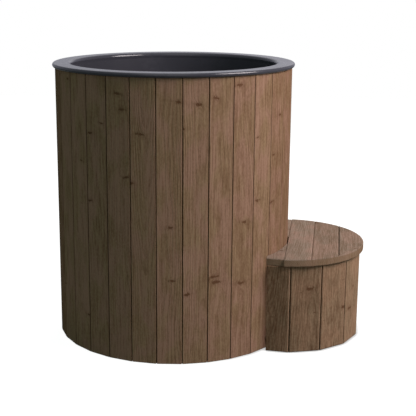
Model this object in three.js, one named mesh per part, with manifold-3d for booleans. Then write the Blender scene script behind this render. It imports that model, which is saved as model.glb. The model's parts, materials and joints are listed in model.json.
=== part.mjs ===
// Round cold plunge tub: a moulded liner hung in a ring of timber staves on a base frame, with a
// bottom drain and a ball valve at the back, and a loose round step nested against its side.
// Millimetres, +Z up. The origin is on the tub's axis at floor level, and +X points to the step.

import * as THREE from 'three';
import { mergeVertices } from 'three/addons/utils/BufferGeometryUtils.js';
import Module from 'manifold-3d';

const wasm = await Module();
wasm.setup();

// Clearances
const FIT_GAP = 0.3; // between pieces that touch
const RUN_GAP = 0.5; // round the valve's turning ball

// Tub staves
const TUB_RADIUS = 440; // to the outer corners of the stave ring
const TUB_HEIGHT = 1025; // floor to the top of the rim
const STAVE_COUNT = 29; // like staves, beside the closing stave
const STAVE_THICKNESS = 21;
const STAVE_GROUND_GAP = 2;
const STAVE_ARRIS = 2.5; // chamfer along the outer edges
const TONGUE_THICKNESS = 6;
const TONGUE_LENGTH = 6;
const CLOSING_STAVE_WIDTH = 139;
const CLOSING_STAVE_ANGLE = 93; // degrees from +X, at the back

// Hoops, insulation and liner
const HOOP_THICKNESS = 14;
const HOOP_HEIGHT = 60;
const MIDDLE_HOOP_HEIGHT = 540; // floor to the middle of the band
const INSULATION_THICKNESS = 12;
const LINER_WALL = 6;
const LINER_CORNER_RADIUS = 50; // inside, between wall and floor
const RIM_EDGE_RADIUS = 12; // inner edge of the rim
const RIM_NOSE_RADIUS = 8; // rolled outer edge of the rim
const RIM_OVERHANG = 8.5; // rim beyond the staves
const RIM_WOOD_GAP = 1; // lip to the staves' corners

// Base
const BASE_BOARD_THICKNESS = 15;
const JOIST_WIDTH = 48;
const JOIST_END_INSET = 14;
const JOIST_DRAIN_GAP = 34; // outer joist to the drain's locknut
const CROSS_RAIL_HEIGHT = 48;
const CROSS_RAIL_SPACING = 360;

// Drain
const DRAIN_WALL_DISTANCE = 90; // drain's axis to the liner's wall
const PIPE_RADIUS = 16;
const PIPE_WALL = 2.4;
const PIPE_HEIGHT = 40; // floor to the pipe's axis
const PIPE_BEND_RADIUS = 34;
const PIPE_STRAIGHT = 6; // between the bend and the drain's tail
const PIPE_INSERT = 16; // pipe inside the tail and inside the valve
const PIPE_HOLE_GAP = 2; // round the pipe in the closing stave
const TAIL_WALL = 4.7;
const TAIL_BELOW_NUT = 8;
const LOCKNUT_HEIGHT = 14;
const LOCKNUT_RIM = 11; // thread to the hexagon's corners
const FLANGE_RADIUS = 40;
const FLANGE_THICKNESS = 6;
const FLANGE_CHAMFER = 2;
const GASKET_THICKNESS = 2;
const GASKET_INSET = 2; // flange edge to gasket edge
const STRAINER_RADIUS = 30;
const STRAINER_THICKNESS = 4;
const STRAINER_HOLE_RADIUS = 3;
const STRAINER_HOLE_CIRCLE = 11;
const STRAINER_HOLES = 8;
const STRAINER_KNOB_RADIUS = 6;
const STRAINER_KNOB_HEIGHT = 10;

// Ball valve
const VALVE_STANDOFF = 10; // closing stave to the valve's inlet
const VALVE_SOCKET_WALL = 8;
const VALVE_BODY_RADIUS = 30;
const VALVE_BODY_LENGTH = 44;
const VALVE_TAPER = 6;
const SPIGOT_WALL = 4.7;
const SPIGOT_LENGTH = 36;
const BALL_RADIUS = 19;
const BALL_PORT_RADIUS = 12;
const STEM_RADIUS = 6;
const STEM_TANG_THICKNESS = 5;
const STEM_TANG_DEPTH = 4;
const NECK_WALL = 6;
const NECK_HEIGHT = 8; // above the valve's body
const LEVER_LENGTH = 105;
const LEVER_WIDTH = 18;
const LEVER_THICKNESS = 5;
const LEVER_NUT_RADIUS = 9;
const LEVER_NUT_HEIGHT = 6;

// Step
const STEP_INSET = 11; // step's axis inside the tub's outer face
const STEP_TUB_GAP = 0.8;
const STEP_TURN = -4.4; // degrees that the step's boards are turned from the tub's radius
const STEP_RADIUS = 289; // to the outer corners of its staves
const STEP_HEIGHT = 355;
const STEP_STAVE_WIDTH = 118;
const STEP_STAVE_THICKNESS = 21;
const TREAD_OVERHANG = 8;
const TREAD_THICKNESS = 28;
const TREAD_WIDTH = 94.7;
const TREAD_GAP = 0.6;
const CORNER_SETBACK = 7; // corner boards inside the tread's round
const CORNER_TIP_CUT = 50; // cut off their thin ends beside the tub, to each side of its axis
const STEP_TIP_CUT = 19; // cut off the thin ends where the tread's round runs into the tub
const STEP_TIP_OVERHANG = 4; // tread beyond the staves at those ends
const FORMER_THICKNESS = 18;
const LOWER_FORMER_HEIGHT = 30;

// Facets
const TUB_FACETS = 60;
const FITTING_FACETS = 24;
const BALL_FACETS = 20;
const HOLE_FACETS = 10;
const PIPE_FACETS = 16;
const PIPE_STEPS = 18;
const CUT_FACETS = 120;
const TREAD_FACETS = 72;
const ARC_STEP = 18; // degrees
const MERGE_DISTANCE = 1e-4;

// Places that follow from the sizes
const closingHalf = Math.asin(CLOSING_STAVE_WIDTH / 2 / TUB_RADIUS);
const staveHalf = (Math.PI - closingHalf) / STAVE_COUNT;
const closingAngle = THREE.MathUtils.degToRad(CLOSING_STAVE_ANGLE);
const innerCorner = TUB_RADIUS - STAVE_THICKNESS / Math.cos(closingHalf);
const frameCorner = innerCorner - FIT_GAP;
const frameFlat = frameCorner * Math.cos(closingHalf);
const hoopInner = frameFlat - HOOP_THICKNESS;
const insulationOuter = hoopInner - FIT_GAP;
const linerOuter = insulationOuter - INSULATION_THICKNESS - FIT_GAP;
const linerInner = linerOuter - LINER_WALL;

const tailRadius = PIPE_RADIUS + FIT_GAP + TAIL_WALL;
const tailEnd = PIPE_HEIGHT + PIPE_BEND_RADIUS + PIPE_STRAIGHT;
const locknutRadius = tailRadius + FIT_GAP + LOCKNUT_RIM;
const joistHeight = tailEnd + TAIL_BELOW_NUT + LOCKNUT_HEIGHT;
const baseBoardBottom = joistHeight + FIT_GAP;
const baseBoardTop = baseBoardBottom + BASE_BOARD_THICKNESS;
const linerBottom = baseBoardTop + FIT_GAP;
const linerFloor = linerBottom + LINER_WALL;
const rimUnderside = TUB_HEIGHT - LINER_WALL;
const staveTop = rimUnderside - FIT_GAP;
const drainOffset = linerInner - DRAIN_WALL_DISTANCE;
const joistSpacing = drainOffset - locknutRadius - JOIST_DRAIN_GAP - JOIST_WIDTH / 2;

const closingFace = TUB_RADIUS * Math.cos(closingHalf);
const valveInlet = closingFace + VALVE_STANDOFF;
const valveSocket = PIPE_INSERT + VALVE_TAPER;
const valveCentre = valveInlet + valveSocket + VALVE_BODY_LENGTH / 2;
const spigotStart = valveSocket + VALVE_BODY_LENGTH + VALVE_TAPER;
const neckTop = VALVE_BODY_RADIUS + NECK_HEIGHT;

const stepCentre = TUB_RADIUS - STEP_INSET;
const stepTurn = THREE.MathUtils.degToRad(STEP_TURN);
const stepHalf = Math.asin(STEP_STAVE_WIDTH / 2 / STEP_RADIUS);
const tubCutRadius = TUB_RADIUS + STEP_TUB_GAP;
const ringReach = (tubCutRadius ** 2 - STEP_RADIUS ** 2 - stepCentre ** 2) / (2 * stepCentre);
const ringArc = 2 * Math.acos(ringReach / STEP_RADIUS); // between the step ring's two meetings with the tub
const stepStaveCount = Math.round(ringArc / (2 * stepHalf));
const treadRadius = STEP_RADIUS + TREAD_OVERHANG;
const treadUnderside = STEP_HEIGHT - TREAD_THICKNESS;
const tipReach = (tubCutRadius ** 2 - treadRadius ** 2 - stepCentre ** 2) / (2 * stepCentre);
const tipHalf = Math.sqrt(treadRadius ** 2 - tipReach ** 2);

const TIMBER = { color: 0x7c6350, roughness: 0.62, metalness: 0 };
const STEP_TIMBER = { color: 0x86695a, roughness: 0.6, metalness: 0 };
const PLYWOOD = { color: 0xb08f66, roughness: 0.7, metalness: 0 };
const FOAM = { color: 0xd9d6cc, roughness: 0.9, metalness: 0 };
const LINER_PLASTIC = { color: 0x3d3d43, roughness: 0.38, metalness: 0 };
const PIPE_PLASTIC = { color: 0x5f6266, roughness: 0.5, metalness: 0 };
const SEAL_RUBBER = { color: 0x1c1c1e, roughness: 0.8, metalness: 0 };
const VALVE_BRASS = { color: 0xb09a6a, roughness: 0.35, metalness: 1 };
const BALL_CHROME = { color: 0xc9ccd0, roughness: 0.12, metalness: 1 };
const LEVER_PAINT = { color: 0x2b2c30, roughness: 0.45, metalness: 0 };

// Solids and meshes
function solidOf(geometry) {
  const bare = geometry.clone();
  bare.deleteAttribute('normal');
  bare.deleteAttribute('uv');
  const merged = mergeVertices(bare, MERGE_DISTANCE);
  const corners = merged.index.array;
  const triangles = [];
  for (let i = 0; i < corners.length; i += 3) {
    const [a, b, c] = corners.slice(i, i + 3);
    if (a !== b && b !== c && c !== a) {
      triangles.push(a, b, c);
    }
  }
  const mesh = new wasm.Mesh({
    numProp: 3,
    vertProperties: new Float32Array(merged.attributes.position.array),
    triVerts: new Uint32Array(triangles),
  });
  return new wasm.Manifold(mesh);
}

function geometryOf(solid) {
  const mesh = solid.getMesh();
  const geometry = new THREE.BufferGeometry();
  geometry.setAttribute('position', new THREE.BufferAttribute(new Float32Array(mesh.vertProperties), 3));
  geometry.setIndex(new THREE.BufferAttribute(new Uint32Array(mesh.triVerts), 1));
  geometry.computeVertexNormals();
  return geometry;
}

function addPiece(group, name, solid, finish) {
  const piece = new THREE.Mesh(geometryOf(solid), new THREE.MeshStandardMaterial(finish));
  piece.name = name;
  group.add(piece);
  return piece;
}

// Shapes
function polar(radius, angle) {
  return new THREE.Vector2(radius * Math.cos(angle), radius * Math.sin(angle));
}

function arc(centreX, centreY, radius, startDegrees, endDegrees) {
  const steps = Math.ceil(Math.abs(endDegrees - startDegrees) / ARC_STEP);
  const points = [];
  for (let i = 0; i <= steps; i += 1) {
    const degrees = startDegrees + ((endDegrees - startDegrees) * i) / steps;
    const point = polar(radius, THREE.MathUtils.degToRad(degrees));
    points.push(point.add(new THREE.Vector2(centreX, centreY)));
  }
  return points;
}

function circle(radius, facets) {
  const points = [];
  for (let i = 0; i < facets; i += 1) {
    points.push(polar(radius, (2 * Math.PI * i) / facets));
  }
  return points;
}

function prism(outline, bottom, top, hole) {
  const shape = new THREE.Shape(outline);
  if (hole) {
    shape.holes.push(new THREE.Path(hole));
  }
  const geometry = new THREE.ExtrudeGeometry(shape, { depth: top - bottom, bevelEnabled: false });
  return geometry.translate(0, 0, bottom);
}

function turned(profile, facets) {
  return new THREE.LatheGeometry(profile, facets).rotateX(Math.PI / 2);
}

function turnedRing(inner, outer, bottom, top, facets) {
  const profile = [
    new THREE.Vector2(inner, bottom),
    new THREE.Vector2(outer, bottom),
    new THREE.Vector2(outer, top),
    new THREE.Vector2(inner, top),
    new THREE.Vector2(inner, bottom),
  ];
  return turned(profile, facets);
}

function rod(radius, bottom, top, facets) {
  return prism(circle(radius, facets), bottom, top);
}

function block(sizeX, sizeY, bottom, top) {
  const geometry = new THREE.BoxGeometry(sizeX, sizeY, top - bottom);
  return geometry.translate(0, 0, (bottom + top) / 2);
}

// A board with edges mitred to its neighbours on a ring, seen from its end: +X points out of the ring.
// The edge at +half carries the tongue and the edge at -half the groove.
function staveOutline(radius, half, thickness, hasTongue, hasGroove) {
  const along = (distance, side, proud) => {
    const offset = proud - FIT_GAP;
    const x = distance * Math.cos(half) - offset * Math.sin(half);
    const y = distance * Math.sin(half) + offset * Math.cos(half);
    return new THREE.Vector2(x, side * y);
  };
  const outer = radius;
  const inner = radius - thickness / Math.cos(half);
  const middle = (outer + inner) / 2;
  const face = radius * Math.cos(half);
  const faceEdge = radius * Math.sin(half) - STAVE_ARRIS;
  const points = [];
  points.push(along(inner, -1, 0));
  if (hasGroove) {
    const grooveHalf = TONGUE_THICKNESS / 2 + FIT_GAP;
    const grooveDepth = TONGUE_LENGTH + FIT_GAP;
    points.push(along(middle - grooveHalf, -1, 0));
    points.push(along(middle - grooveHalf, -1, -grooveDepth));
    points.push(along(middle + grooveHalf, -1, -grooveDepth));
    points.push(along(middle + grooveHalf, -1, 0));
  }
  points.push(along(outer - STAVE_ARRIS, -1, 0));
  points.push(new THREE.Vector2(face, -faceEdge));
  points.push(new THREE.Vector2(face, faceEdge));
  points.push(along(outer - STAVE_ARRIS, 1, 0));
  if (hasTongue) {
    points.push(along(middle + TONGUE_THICKNESS / 2, 1, 0));
    points.push(along(middle + TONGUE_THICKNESS / 2, 1, TONGUE_LENGTH));
    points.push(along(middle - TONGUE_THICKNESS / 2, 1, TONGUE_LENGTH));
    points.push(along(middle - TONGUE_THICKNESS / 2, 1, 0));
  }
  points.push(along(inner, 1, 0));
  return points;
}

// The line through the stave joints, drawn in to the corners of what the staves are screwed to
function jointOutline(radius) {
  const points = [];
  for (let i = 0; i <= STAVE_COUNT; i += 1) {
    points.push(polar(radius, closingAngle + closingHalf + 2 * staveHalf * i));
  }
  return points;
}

const assembly = new THREE.Group();
const tub = new THREE.Group();
const drain = new THREE.Group();
const step = new THREE.Group();
drain.rotation.z = closingAngle;
step.position.x = stepCentre;
step.rotation.z = stepTurn;
assembly.add(tub, drain, step);

// Base: three joists with two rails let into them, and the board that the liner stands on
function baseFrame() {
  const reach = frameFlat - JOIST_END_INSET;
  const joistLength = (y) => 2 * Math.sqrt(reach ** 2 - (Math.abs(y) + JOIST_WIDTH / 2) ** 2);
  const railLength = 2 * joistSpacing + JOIST_WIDTH;
  const railBottom = joistHeight - CROSS_RAIL_HEIGHT;
  let frame = solidOf(block(joistLength(0), JOIST_WIDTH, 0, joistHeight));
  for (const side of [-1, 1]) {
    const y = side * joistSpacing;
    frame = frame.add(solidOf(block(joistLength(y), JOIST_WIDTH, 0, joistHeight).translate(0, y, 0)));
    const rail = block(JOIST_WIDTH, railLength, railBottom, joistHeight);
    frame = frame.add(solidOf(rail.translate((side * CROSS_RAIL_SPACING) / 2, 0, 0)));
  }
  return frame;
}

function drainHole(bottom, top) {
  const hole = rod(tailRadius + FIT_GAP, bottom, top, FITTING_FACETS);
  return solidOf(hole.translate(drainOffset, 0, 0).rotateZ(closingAngle));
}

addPiece(tub, 'base_frame', baseFrame(), TIMBER);
const baseBoard = solidOf(prism(jointOutline(frameCorner), baseBoardBottom, baseBoardTop));
addPiece(tub, 'base_board', baseBoard.subtract(drainHole(0, linerFloor)), PLYWOOD);

// Liner: floor, wall and rolled rim in one moulding, turned about the tub's axis
function linerProfile() {
  const outerCorner = LINER_CORNER_RADIUS + LINER_WALL;
  const filletCentre = rimUnderside - LINER_WALL;
  const edgeCentre = TUB_HEIGHT - RIM_EDGE_RADIUS;
  const lipInner = TUB_RADIUS + RIM_WOOD_GAP;
  const noseCentre = TUB_RADIUS + RIM_OVERHANG - RIM_NOSE_RADIUS;
  const noseHeight = TUB_HEIGHT - RIM_NOSE_RADIUS;
  const noseStart = -THREE.MathUtils.radToDeg(Math.acos((lipInner - noseCentre) / RIM_NOSE_RADIUS));
  return [
    new THREE.Vector2(0, linerBottom),
    ...arc(linerOuter - outerCorner, linerBottom + outerCorner, outerCorner, -90, 0),
    ...arc(linerOuter + LINER_WALL, filletCentre, LINER_WALL, 180, 90),
    new THREE.Vector2(lipInner, rimUnderside),
    ...arc(noseCentre, noseHeight, RIM_NOSE_RADIUS, noseStart, 90),
    ...arc(linerInner + RIM_EDGE_RADIUS, edgeCentre, RIM_EDGE_RADIUS, 90, 180),
    ...arc(linerInner - LINER_CORNER_RADIUS, linerFloor + LINER_CORNER_RADIUS, LINER_CORNER_RADIUS, 0, -90),
    new THREE.Vector2(0, linerFloor),
  ];
}

const linerShell = solidOf(turned(linerProfile(), TUB_FACETS));
addPiece(tub, 'liner', linerShell.subtract(drainHole(0, linerFloor + FLANGE_THICKNESS)), LINER_PLASTIC);

const wrapBottom = linerFloor + LINER_CORNER_RADIUS;
const wrapTop = rimUnderside - LINER_WALL - FIT_GAP;
const wrap = turnedRing(linerOuter + FIT_GAP, insulationOuter, wrapBottom, wrapTop, TUB_FACETS);
addPiece(tub, 'insulation_wrap', solidOf(wrap), FOAM);

// Hoops: flat outside against each stave, round inside
function hoop(top) {
  return solidOf(prism(jointOutline(frameCorner), top - HOOP_HEIGHT, top, circle(hoopInner, TUB_FACETS)));
}

addPiece(tub, 'upper_hoop', hoop(staveTop), PLYWOOD);
addPiece(tub, 'middle_hoop', hoop(MIDDLE_HOOP_HEIGHT + HOOP_HEIGHT / 2), PLYWOOD);

// Staves: like ones round the ring from one side of the closing stave to the other
const staveShape = staveOutline(TUB_RADIUS, staveHalf, STAVE_THICKNESS, true, true);
for (let i = 0; i < STAVE_COUNT; i += 1) {
  const stave = solidOf(prism(staveShape, STAVE_GROUND_GAP, staveTop));
  const name = `stave_${String(i + 1).padStart(2, '0')}`;
  addPiece(tub, name, stave, TIMBER).rotation.z = closingAngle + closingHalf + staveHalf * (2 * i + 1);
}

const closingShape = staveOutline(TUB_RADIUS, closingHalf, STAVE_THICKNESS, true, true);
const pipeHole = rod(PIPE_RADIUS + PIPE_HOLE_GAP, 0, closingFace + STAVE_THICKNESS, FITTING_FACETS);
pipeHole.rotateY(Math.PI / 2).translate(0, 0, PIPE_HEIGHT);
const closingStave = solidOf(prism(closingShape, STAVE_GROUND_GAP, staveTop)).subtract(solidOf(pipeHole));
addPiece(drain, 'closing_stave', closingStave, TIMBER);

// Drain fitting: a flange with a threaded tail, clamped through the floor and the base board
const gasketBottom = linerFloor + FIT_GAP;
const flangeBottom = gasketBottom + GASKET_THICKNESS + FIT_GAP;
const flangeTop = flangeBottom + FLANGE_THICKNESS;
const strainerSeat = flangeTop - STRAINER_THICKNESS;

function flangeProfile() {
  const bore = PIPE_RADIUS + FIT_GAP;
  return [
    new THREE.Vector2(bore, tailEnd),
    new THREE.Vector2(tailRadius, tailEnd),
    new THREE.Vector2(tailRadius, flangeBottom),
    new THREE.Vector2(FLANGE_RADIUS, flangeBottom),
    new THREE.Vector2(FLANGE_RADIUS, flangeTop - FLANGE_CHAMFER),
    new THREE.Vector2(FLANGE_RADIUS - FLANGE_CHAMFER, flangeTop),
    new THREE.Vector2(STRAINER_RADIUS + FIT_GAP, flangeTop),
    new THREE.Vector2(STRAINER_RADIUS + FIT_GAP, strainerSeat),
    new THREE.Vector2(bore, strainerSeat),
    new THREE.Vector2(bore, tailEnd),
  ];
}

function locknut() {
  const hexagon = solidOf(rod(locknutRadius, joistHeight - LOCKNUT_HEIGHT, joistHeight, 6));
  return hexagon.subtract(solidOf(rod(tailRadius + FIT_GAP, 0, linerFloor, FITTING_FACETS)));
}

function strainer() {
  const knobTop = flangeTop + STRAINER_KNOB_HEIGHT;
  const plate = solidOf(rod(STRAINER_RADIUS, strainerSeat + FIT_GAP, flangeTop, FITTING_FACETS));
  let grid = plate.add(solidOf(rod(STRAINER_KNOB_RADIUS, strainerSeat + FIT_GAP, knobTop, HOLE_FACETS)));
  for (let i = 0; i < STRAINER_HOLES; i += 1) {
    const hole = rod(STRAINER_HOLE_RADIUS, linerBottom, knobTop, HOLE_FACETS);
    hole.translate(STRAINER_HOLE_CIRCLE, 0, 0).rotateZ((2 * Math.PI * i) / STRAINER_HOLES);
    grid = grid.subtract(solidOf(hole));
  }
  return grid;
}

const gasketOuter = FLANGE_RADIUS - GASKET_INSET;
const gasketTop = gasketBottom + GASKET_THICKNESS;
const gasket = turnedRing(tailRadius + FIT_GAP, gasketOuter, gasketBottom, gasketTop, FITTING_FACETS);
const fittings = new THREE.Group();
fittings.position.x = drainOffset;
drain.add(fittings);
addPiece(fittings, 'drain_flange', solidOf(turned(flangeProfile(), FITTING_FACETS)), PIPE_PLASTIC);
addPiece(fittings, 'drain_gasket', solidOf(gasket), SEAL_RUBBER);
addPiece(fittings, 'drain_locknut', locknut(), PIPE_PLASTIC);
addPiece(fittings, 'drain_strainer', strainer(), PIPE_PLASTIC);

// Drain pipe: down out of the tail, round one bend and out through the closing stave
function drainPipe() {
  const bendTop = PIPE_HEIGHT + PIPE_BEND_RADIUS;
  const bendEnd = drainOffset + PIPE_BEND_RADIUS;
  const top = new THREE.Vector3(drainOffset, 0, tailEnd + PIPE_INSERT);
  const bendStart = new THREE.Vector3(drainOffset, 0, bendTop);
  const bendFinish = new THREE.Vector3(bendEnd, 0, PIPE_HEIGHT);
  const end = new THREE.Vector3(valveInlet + PIPE_INSERT, 0, PIPE_HEIGHT);
  const corner = new THREE.Vector3(drainOffset, 0, PIPE_HEIGHT);
  const route = new THREE.CurvePath();
  route.add(new THREE.LineCurve3(top, bendStart));
  route.add(new THREE.QuadraticBezierCurve3(bendStart, corner, bendFinish));
  route.add(new THREE.LineCurve3(bendFinish, end));
  const section = new THREE.Shape(circle(PIPE_RADIUS, PIPE_FACETS));
  section.holes.push(new THREE.Path(circle(PIPE_RADIUS - PIPE_WALL, PIPE_FACETS)));
  return new THREE.ExtrudeGeometry(section, { steps: PIPE_STEPS, extrudePath: route });
}

addPiece(drain, 'drain_pipe', solidOf(drainPipe()), PIPE_PLASTIC);

// Ball valve: a turned body with a socket, a ball chamber and a spigot, bored from above for the stem
function valveBodyProfile() {
  const socketOuter = PIPE_RADIUS + FIT_GAP + VALVE_SOCKET_WALL;
  const bodyEnd = valveSocket + VALVE_BODY_LENGTH;
  const spigotEnd = spigotStart + SPIGOT_LENGTH;
  const middle = valveSocket + VALVE_BODY_LENGTH / 2;
  const chamber = BALL_RADIUS + RUN_GAP;
  const portAngle = THREE.MathUtils.radToDeg(Math.acos(BALL_PORT_RADIUS / chamber));
  return [
    new THREE.Vector2(PIPE_RADIUS + FIT_GAP, 0),
    new THREE.Vector2(socketOuter, 0),
    new THREE.Vector2(socketOuter, PIPE_INSERT),
    new THREE.Vector2(VALVE_BODY_RADIUS, valveSocket),
    new THREE.Vector2(VALVE_BODY_RADIUS, bodyEnd),
    new THREE.Vector2(BALL_PORT_RADIUS + SPIGOT_WALL, spigotStart),
    new THREE.Vector2(BALL_PORT_RADIUS + SPIGOT_WALL, spigotEnd),
    new THREE.Vector2(BALL_PORT_RADIUS, spigotEnd),
    ...arc(0, middle, chamber, portAngle, -portAngle),
    new THREE.Vector2(BALL_PORT_RADIUS, PIPE_INSERT + FIT_GAP),
    new THREE.Vector2(PIPE_RADIUS + FIT_GAP, PIPE_INSERT + FIT_GAP),
    new THREE.Vector2(PIPE_RADIUS + FIT_GAP, 0),
  ];
}

function valveBody() {
  const inletOffset = valveInlet - valveCentre;
  const body = turned(valveBodyProfile(), FITTING_FACETS).rotateY(Math.PI / 2).translate(inletOffset, 0, 0);
  const neck = rod(STEM_RADIUS + FIT_GAP + NECK_WALL, BALL_RADIUS + NECK_WALL, neckTop, FITTING_FACETS);
  const stemHole = rod(STEM_RADIUS + FIT_GAP, 0, neckTop + NECK_HEIGHT, FITTING_FACETS);
  return solidOf(body).add(solidOf(neck)).subtract(solidOf(stemHole));
}

function valveBall() {
  const sphere = new THREE.SphereGeometry(BALL_RADIUS, BALL_FACETS, BALL_FACETS / 2);
  const ball = solidOf(sphere.rotateX(Math.PI / 2));
  const port = rod(BALL_PORT_RADIUS, -2 * BALL_RADIUS, 2 * BALL_RADIUS, FITTING_FACETS).rotateX(Math.PI / 2);
  const slotBottom = BALL_RADIUS - STEM_TANG_DEPTH;
  const slot = block(STEM_TANG_THICKNESS + 2 * FIT_GAP, 2 * BALL_RADIUS, slotBottom, 2 * BALL_RADIUS);
  return ball.subtract(solidOf(port)).subtract(solidOf(slot));
}

function valveLever() {
  const stemBottom = BALL_RADIUS + FIT_GAP;
  const armBottom = neckTop + FIT_GAP;
  const armTop = armBottom + LEVER_THICKNESS;
  const armHalf = LEVER_WIDTH / 2;
  const armEnd = LEVER_LENGTH - armHalf;
  const armOutline = [...arc(0, 0, armHalf, 0, 180), ...arc(0, -armEnd, armHalf, 180, 360)];
  const stem = solidOf(rod(STEM_RADIUS, stemBottom, armTop, FITTING_FACETS));
  const arm = solidOf(prism(armOutline, armBottom, armTop));
  const nut = solidOf(rod(LEVER_NUT_RADIUS, armTop - FIT_GAP, armTop + LEVER_NUT_HEIGHT, 6));
  const tangBottom = BALL_RADIUS - STEM_TANG_DEPTH + FIT_GAP;
  const tang = solidOf(block(STEM_TANG_THICKNESS, STEM_RADIUS, tangBottom, stemBottom + STEM_RADIUS));
  return stem.add(tang).add(arm).add(nut);
}

const valve = new THREE.Group();
valve.position.set(valveCentre, 0, PIPE_HEIGHT);
drain.add(valve);
addPiece(valve, 'valve_body', valveBody(), VALVE_BRASS);
addPiece(valve, 'valve_ball', valveBall(), BALL_CHROME);
addPiece(valve, 'valve_lever', valveLever(), LEVER_PAINT);

// Step: everything is drawn about the step's own axis, and the tub's round side is cut out of it
function tubCut() {
  const cut = rod(tubCutRadius, -STEP_HEIGHT, 2 * STEP_HEIGHT, CUT_FACETS);
  return solidOf(cut.translate(-stepCentre, 0, 0).rotateZ(-stepTurn));
}

// The thin end in front of the tub (side -1) or behind it (side 1), square to the step's boards
function tipCut(side, inset) {
  const tip = tipReach * Math.cos(stepTurn) + side * tipHalf * Math.sin(stepTurn);
  const cut = block(treadRadius, 2 * treadRadius, -STEP_HEIGHT, 2 * STEP_HEIGHT);
  const end = tip + STEP_TIP_CUT + inset;
  return solidOf(cut.translate(end - treadRadius / 2, side * treadRadius, 0));
}

function fitToTub(piece, inset) {
  return piece.subtract(tubCut()).subtract(tipCut(-1, inset)).subtract(tipCut(1, inset));
}

for (let i = 0; i < stepStaveCount; i += 1) {
  const hasTongue = i < stepStaveCount - 1;
  const hasGroove = i > 0;
  const outline = staveOutline(STEP_RADIUS, stepHalf, STEP_STAVE_THICKNESS, hasTongue, hasGroove);
  const angle = stepHalf * (2 * i + 1 - stepStaveCount);
  const stave = prism(outline, 0, treadUnderside - FIT_GAP).rotateZ(angle);
  addPiece(step, `step_stave_${i + 1}`, fitToTub(solidOf(stave), STEP_TIP_OVERHANG), STEP_TIMBER);
}

function former(bottom) {
  const corner = STEP_RADIUS - STEP_STAVE_THICKNESS / Math.cos(stepHalf) - FIT_GAP;
  const outline = [];
  for (let i = 0; i <= stepStaveCount; i += 1) {
    outline.push(polar(corner, stepHalf * (2 * i - stepStaveCount)));
  }
  return fitToTub(solidOf(prism(outline, bottom, bottom + FORMER_THICKNESS)), STEP_TIP_OVERHANG);
}

addPiece(step, 'step_upper_former', former(treadUnderside - FIT_GAP - FORMER_THICKNESS), PLYWOOD);
addPiece(step, 'step_lower_former', former(LOWER_FORMER_HEIGHT), PLYWOOD);

// Tread: boards laid side by side and cut to one round; the tub parts the first one into two corners,
// and the outer one runs out to the round
function treadBoard(start, end, radius) {
  const round = solidOf(rod(radius, treadUnderside, STEP_HEIGHT, TREAD_FACETS));
  const strip = block(end - start, 3 * treadRadius, 0, 2 * STEP_HEIGHT).translate((start + end) / 2, 0, 0);
  return fitToTub(round.intersect(solidOf(strip)), 0);
}

function cornerOf(board, side) {
  const half = block(4 * treadRadius, 2 * treadRadius, 0, 2 * STEP_HEIGHT);
  const tubAxis = stepCentre * Math.sin(stepTurn);
  return board.intersect(solidOf(half.translate(0, tubAxis + side * (CORNER_TIP_CUT + treadRadius), 0)));
}

const treadPitch = TREAD_WIDTH + TREAD_GAP;
const treadStart = tubCutRadius - stepCentre * Math.cos(stepTurn) + FIT_GAP;
const cornerRadius = treadRadius - CORNER_SETBACK;
const cornerBoard = treadBoard(-cornerRadius, treadStart - TREAD_GAP, cornerRadius);
addPiece(step, 'tread_front_corner', cornerOf(cornerBoard, -1), STEP_TIMBER);
addPiece(step, 'tread_back_corner', cornerOf(cornerBoard, 1), STEP_TIMBER);
['tread_inner', 'tread_middle'].forEach((name, i) => {
  const start = treadStart + treadPitch * i;
  addPiece(step, name, treadBoard(start, start + TREAD_WIDTH, treadRadius), STEP_TIMBER);
});
const outerBoard = treadBoard(treadStart + 2 * treadPitch, treadRadius, treadRadius);
addPiece(step, 'tread_outer', outerBoard, STEP_TIMBER);

export default assembly;
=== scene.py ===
import json
import math
import random

import bmesh
import bpy
from mathutils import Matrix, Vector

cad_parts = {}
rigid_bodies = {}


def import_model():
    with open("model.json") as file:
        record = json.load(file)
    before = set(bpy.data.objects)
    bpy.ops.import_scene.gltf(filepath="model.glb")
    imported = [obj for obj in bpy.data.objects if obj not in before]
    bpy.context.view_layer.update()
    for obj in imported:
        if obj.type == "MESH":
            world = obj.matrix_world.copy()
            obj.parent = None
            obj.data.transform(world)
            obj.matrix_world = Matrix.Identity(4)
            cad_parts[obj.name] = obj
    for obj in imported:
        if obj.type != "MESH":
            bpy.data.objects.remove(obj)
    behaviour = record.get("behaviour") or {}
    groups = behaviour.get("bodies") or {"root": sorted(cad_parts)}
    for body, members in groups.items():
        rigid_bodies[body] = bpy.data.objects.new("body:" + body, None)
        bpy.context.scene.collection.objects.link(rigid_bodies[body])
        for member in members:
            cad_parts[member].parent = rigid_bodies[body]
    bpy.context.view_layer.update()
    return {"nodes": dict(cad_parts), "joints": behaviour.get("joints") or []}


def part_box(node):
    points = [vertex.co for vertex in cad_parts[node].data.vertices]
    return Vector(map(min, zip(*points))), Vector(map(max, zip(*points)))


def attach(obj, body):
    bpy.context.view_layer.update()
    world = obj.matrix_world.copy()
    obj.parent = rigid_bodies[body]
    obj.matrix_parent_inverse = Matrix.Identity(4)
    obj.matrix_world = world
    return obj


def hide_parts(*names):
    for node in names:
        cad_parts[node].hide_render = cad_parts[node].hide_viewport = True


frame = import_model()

# Base frame: three joists with rails let in between them, glued up from planed, treated softwood.
# It stands on the floor inside the ring of staves and carries the base board.
JOIST_WIDTH = 0.048
RAIL_HEIGHT = 0.048
RAIL_SPACING = 0.36
JOIST_ARRIS = 0.002
FRAME_SEED = 3
TREATED_PALE = (0.36, 0.30, 0.16, 1)
TREATED_GREY = (0.32, 0.28, 0.17, 1)
TREATED_DARK = (0.20, 0.15, 0.07, 1)
TREATED_KNOT = (0.09, 0.055, 0.03, 1)
TREATED_RINGS = 0.005
PITH_DEPTH = (0.03, 0.085)  # under the board's face
PITH_OFFSET = 0.03
LOG_LENGTH = 40
BOARD_LEAN = 0.03
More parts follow.
